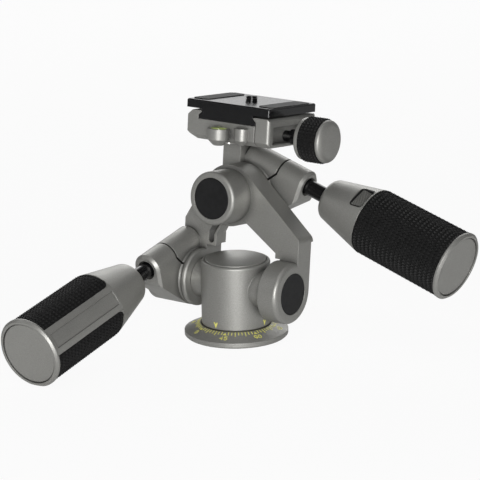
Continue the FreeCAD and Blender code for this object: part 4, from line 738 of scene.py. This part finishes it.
LOOKS = {
    "satin_grey_paint": satin_paint(
        "satin_grey_paint_look", (0.275, 0.273, 0.258), (0.355, 0.352, 0.333)),
    "bright_steel": turned_steel("bright_steel_look", (0.62, 0.61, 0.59), 0.28),
    "black_steel": black_gloss(
        "black_steel_look", (0.003, 0.003, 0.0035), (0.006, 0.006, 0.0065)),
    "black_alloy": anodised(
        "black_alloy_look", (0.004, 0.004, 0.0045), (0.007, 0.007, 0.0075), 0.17),
    "thread_steel": turned_steel("thread_steel_look", (0.16, 0.16, 0.16), 0.30),
    "bronze": turned_steel("bronze_look", (0.52, 0.33, 0.14), 0.34),
    "friction_plastic": moulded(
        "friction_plastic_look", (0.035, 0.033, 0.024), (0.055, 0.052, 0.036), 0.5, 0.00001),
    "black_plastic": moulded(
        "black_plastic_look", (0.007, 0.007, 0.0075), (0.012, 0.012, 0.0125), 0.42, 0.000012, 0.25),
    "black_rubber": moulded(
        "black_rubber_look", (0.004, 0.004, 0.004), (0.008, 0.008, 0.008), 0.62, 0.00001, 0.22),
    "level_fluid": level_liquid("level_fluid_look", (0.30, 0.38, 0.10), (0.42, 0.50, 0.18)),
    "bubble": level_liquid("level_bubble_look", (0.42, 0.48, 0.20), (0.50, 0.56, 0.26)),
    "dial_yellow": dial_paint("dial_yellow_look", (0.62, 0.59, 0.12), (0.80, 0.77, 0.20)),
}


def dress_nodes():
    """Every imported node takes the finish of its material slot."""
    slots = {sub["node"]: sub["material_slot"] for sub in frame["record"]["subparts"]}
    for name, node in frame["nodes"].items():
        for index in range(len(node.material_slots)):
            node.material_slots[index].material = LOOKS[slots[name]]


# ---------------------------------------------------------------- stage

def toward(azimuth, elevation):
    """The direction to an azimuth, from -Y towards X, and an elevation, both in radians."""
    level = math.cos(elevation)
    return Vector((math.sin(azimuth) * level, -math.cos(azimuth) * level, math.sin(elevation)))


LAMP_DISTANCE, LAMP_TARGET = 1.5, (0.0, 0.0, 0.07)


def soft_box(name, azimuth, elevation, size, power):
    """A rectangular studio lamp that looks at the object from a direction given in degrees."""
    lamp = bpy.data.lights.new(name, "AREA")
    lamp.shape = "RECTANGLE"
    lamp.size, lamp.size_y = size
    lamp.energy = power
    holder = bpy.data.objects.new(name, lamp)
    bpy.context.scene.collection.objects.link(holder)
    target = Vector(LAMP_TARGET)
    eye = target + toward(math.radians(azimuth), math.radians(elevation)) * LAMP_DISTANCE
    holder.location = eye
    holder.rotation_euler = (target - eye).to_track_quat("-Z", "Y").to_euler()


CAMERA_AZIMUTH, CAMERA_ELEVATION, CAMERA_ROLL = 35.93, 15.57, -0.81
PAPER_COLOUR, WHITE = (0.86, 0.86, 0.86, 1.0), (1.0, 1.0, 1.0, 1.0)
SEEN_GLOW, FLOOR_SHEEN, BACKDROP_SHEEN = 0.93, 0.16, 0.95


def paper(name, sheen):
    """Pale paper, which the camera sees pale and with its shadow.

    The sheen is how bright glossy surfaces see it.
    """
    material = bpy.data.materials.new(name)
    material.use_nodes = True
    nodes, links = material.node_tree.nodes, material.node_tree.links
    nodes.clear()
    matt = nodes.new("ShaderNodeBsdfDiffuse")
    matt.inputs["Color"].default_value = PAPER_COLOUR
    glow = nodes.new("ShaderNodeEmission")
    glow.inputs["Color"].default_value = WHITE
    glow.inputs["Strength"].default_value = 1.0
    ray = nodes.new("ShaderNodeLightPath")
    shares = []
    for kind, share in (("Is Camera Ray", SEEN_GLOW), ("Is Glossy Ray", sheen)):
        part = nodes.new("ShaderNodeMath")
        part.operation = "MULTIPLY"
        part.inputs[1].default_value = share
        links.new(ray.outputs[kind], part.inputs[0])
        shares.append(part.outputs[0])
    either = nodes.new("ShaderNodeMath")
    either.operation = "MAXIMUM"
    links.new(shares[0], either.inputs[0])
    links.new(shares[1], either.inputs[1])
    mix = nodes.new("ShaderNodeMixShader")
    links.new(either.outputs[0], mix.inputs["Fac"])
    links.new(matt.outputs[0], mix.inputs[1])
    links.new(glow.outputs[0], mix.inputs[2])
    out = nodes.new("ShaderNodeOutputMaterial")
    links.new(mix.outputs[0], out.inputs["Surface"])
    return material


FLOOR_SIDES = (-6.0, -1.0, 1.0, 6.0)
FLOOR_FRONT, FLOOR_BACK = -6.0, 3.0
CURVE_RADIUS, CURVE_STEP, BACKDROP_TOP = 2.0, 10, 6.0


def pale_floor():
    """A pale floor, square to the camera, that curves up far behind the object into a backdrop.

    From the curve on, the middle strip has the backdrop's paper; the rest has the floor's.
    """
    profile = [(FLOOR_FRONT, 0.0), (FLOOR_BACK, 0.0)]
    for degrees in range(CURVE_STEP, 91, CURVE_STEP):
        angle = math.radians(degrees)
        profile.append((FLOOR_BACK + CURVE_RADIUS * math.sin(angle),
                        CURVE_RADIUS - CURVE_RADIUS * math.cos(angle)))
    profile.append((FLOOR_BACK + CURVE_RADIUS, BACKDROP_TOP))
    turn = Matrix.Rotation(math.radians(CAMERA_AZIMUTH), 3, "Z")
    vertices = [turn @ Vector((x, y, z)) for y, z in profile for x in FLOOR_SIDES]
    faces, papers = [], []
    count = len(FLOOR_SIDES)
    for row in range(len(profile) - 1):
        for column in range(count - 1):
            first = count * row + column
            faces.append((first, first + 1, first + count + 1, first + count))
            papers.append(1 if row and column == 1 else 0)
    mesh = bpy.data.meshes.new("floor")
    mesh.from_pydata([tuple(v) for v in vertices], [], faces)
    mesh.materials.append(paper("floor_paper", FLOOR_SHEEN))
    mesh.materials.append(paper("backdrop_paper", BACKDROP_SHEEN))
    mesh.polygons.foreach_set("material_index", papers)
    floor = bpy.data.objects.new("floor", mesh)
    bpy.context.scene.collection.objects.link(floor)


WORLD_STRENGTH = 0.12


def studio():
    """World and lamps: a dim plain tent, a soft key in front, weak fill, a wide lamp behind."""
    world = bpy.data.worlds.new("studio")
    bpy.context.scene.world = world
    world.use_nodes = True
    background = world.node_tree.nodes["Background"]
    background.inputs["Color"].default_value = WHITE
    background.inputs["Strength"].default_value = WORLD_STRENGTH
    soft_box("key_lamp", 37.0, 8.0, (0.7, 0.8), 25.0)
    soft_box("left_lamp", -50.0, 30.0, (0.35, 1.0), 1.2)
    soft_box("top_lamp", 36.0, 70.0, (0.8, 0.5), 2.0)
    soft_box("back_lamp", 216.0, 26.0, (1.6, 0.5), 7.0)
    bpy.context.scene.view_settings.view_transform = "Standard"


PHOTO_PIXELS, FOCAL_PIXELS, PIXELS_PER_MM = 480.0, 2364.28, 1.738
TILT_AXIS_SEEN_AT = (235.81, 283.31)
SENSOR_WIDTH, NEAREST, FARTHEST = 36.0, 0.05, 50.0


def photo_camera():
    """The camera of the photograph: direction, roll and distance, for a 480 by 480 frame."""
    azimuth, elevation = math.radians(CAMERA_AZIMUTH), math.radians(CAMERA_ELEVATION)
    roll = math.radians(CAMERA_ROLL)
    across, down = (seen - PHOTO_PIXELS / 2 for seen in TILT_AXIS_SEEN_AT)
    back = toward(azimuth, elevation)
    side = Vector((math.cos(azimuth), math.sin(azimuth), 0.0))
    up = back.cross(side)
    right = side * math.cos(roll) + up * math.sin(roll)
    top = up * math.cos(roll) - side * math.sin(roll)
    eye = Vector((0, 0, TILT_HEIGHT)) + back * (FOCAL_PIXELS / PIXELS_PER_MM)
    eye = eye - right * (across / PIXELS_PER_MM) + top * (down / PIXELS_PER_MM)
    data = bpy.data.cameras.new("photo_camera")
    data.sensor_width = SENSOR_WIDTH
    data.lens = FOCAL_PIXELS * SENSOR_WIDTH / PHOTO_PIXELS
    data.clip_start, data.clip_end = NEAREST, FARTHEST
    camera = bpy.data.objects.new("photo_camera", data)
    bpy.context.scene.collection.objects.link(camera)
    turn = Matrix((right, top, back)).transposed().to_4x4()
    camera.matrix_world = Matrix.Translation(eye * MM) @ turn
    bpy.context.scene.camera = camera


# ---------------------------------------------------------------- whole scene

dress_nodes()
for side, axis in HANDLES.items():
    grip_sleeve(side, axis)
    window_tongue(side, axis)
    window_shade_sheet(side, axis)
    grip_corners(side, axis)
jaw_knob()
camera_thread()
round_level()
dial()
index_marks()
pale_floor()
studio()
photo_camera()
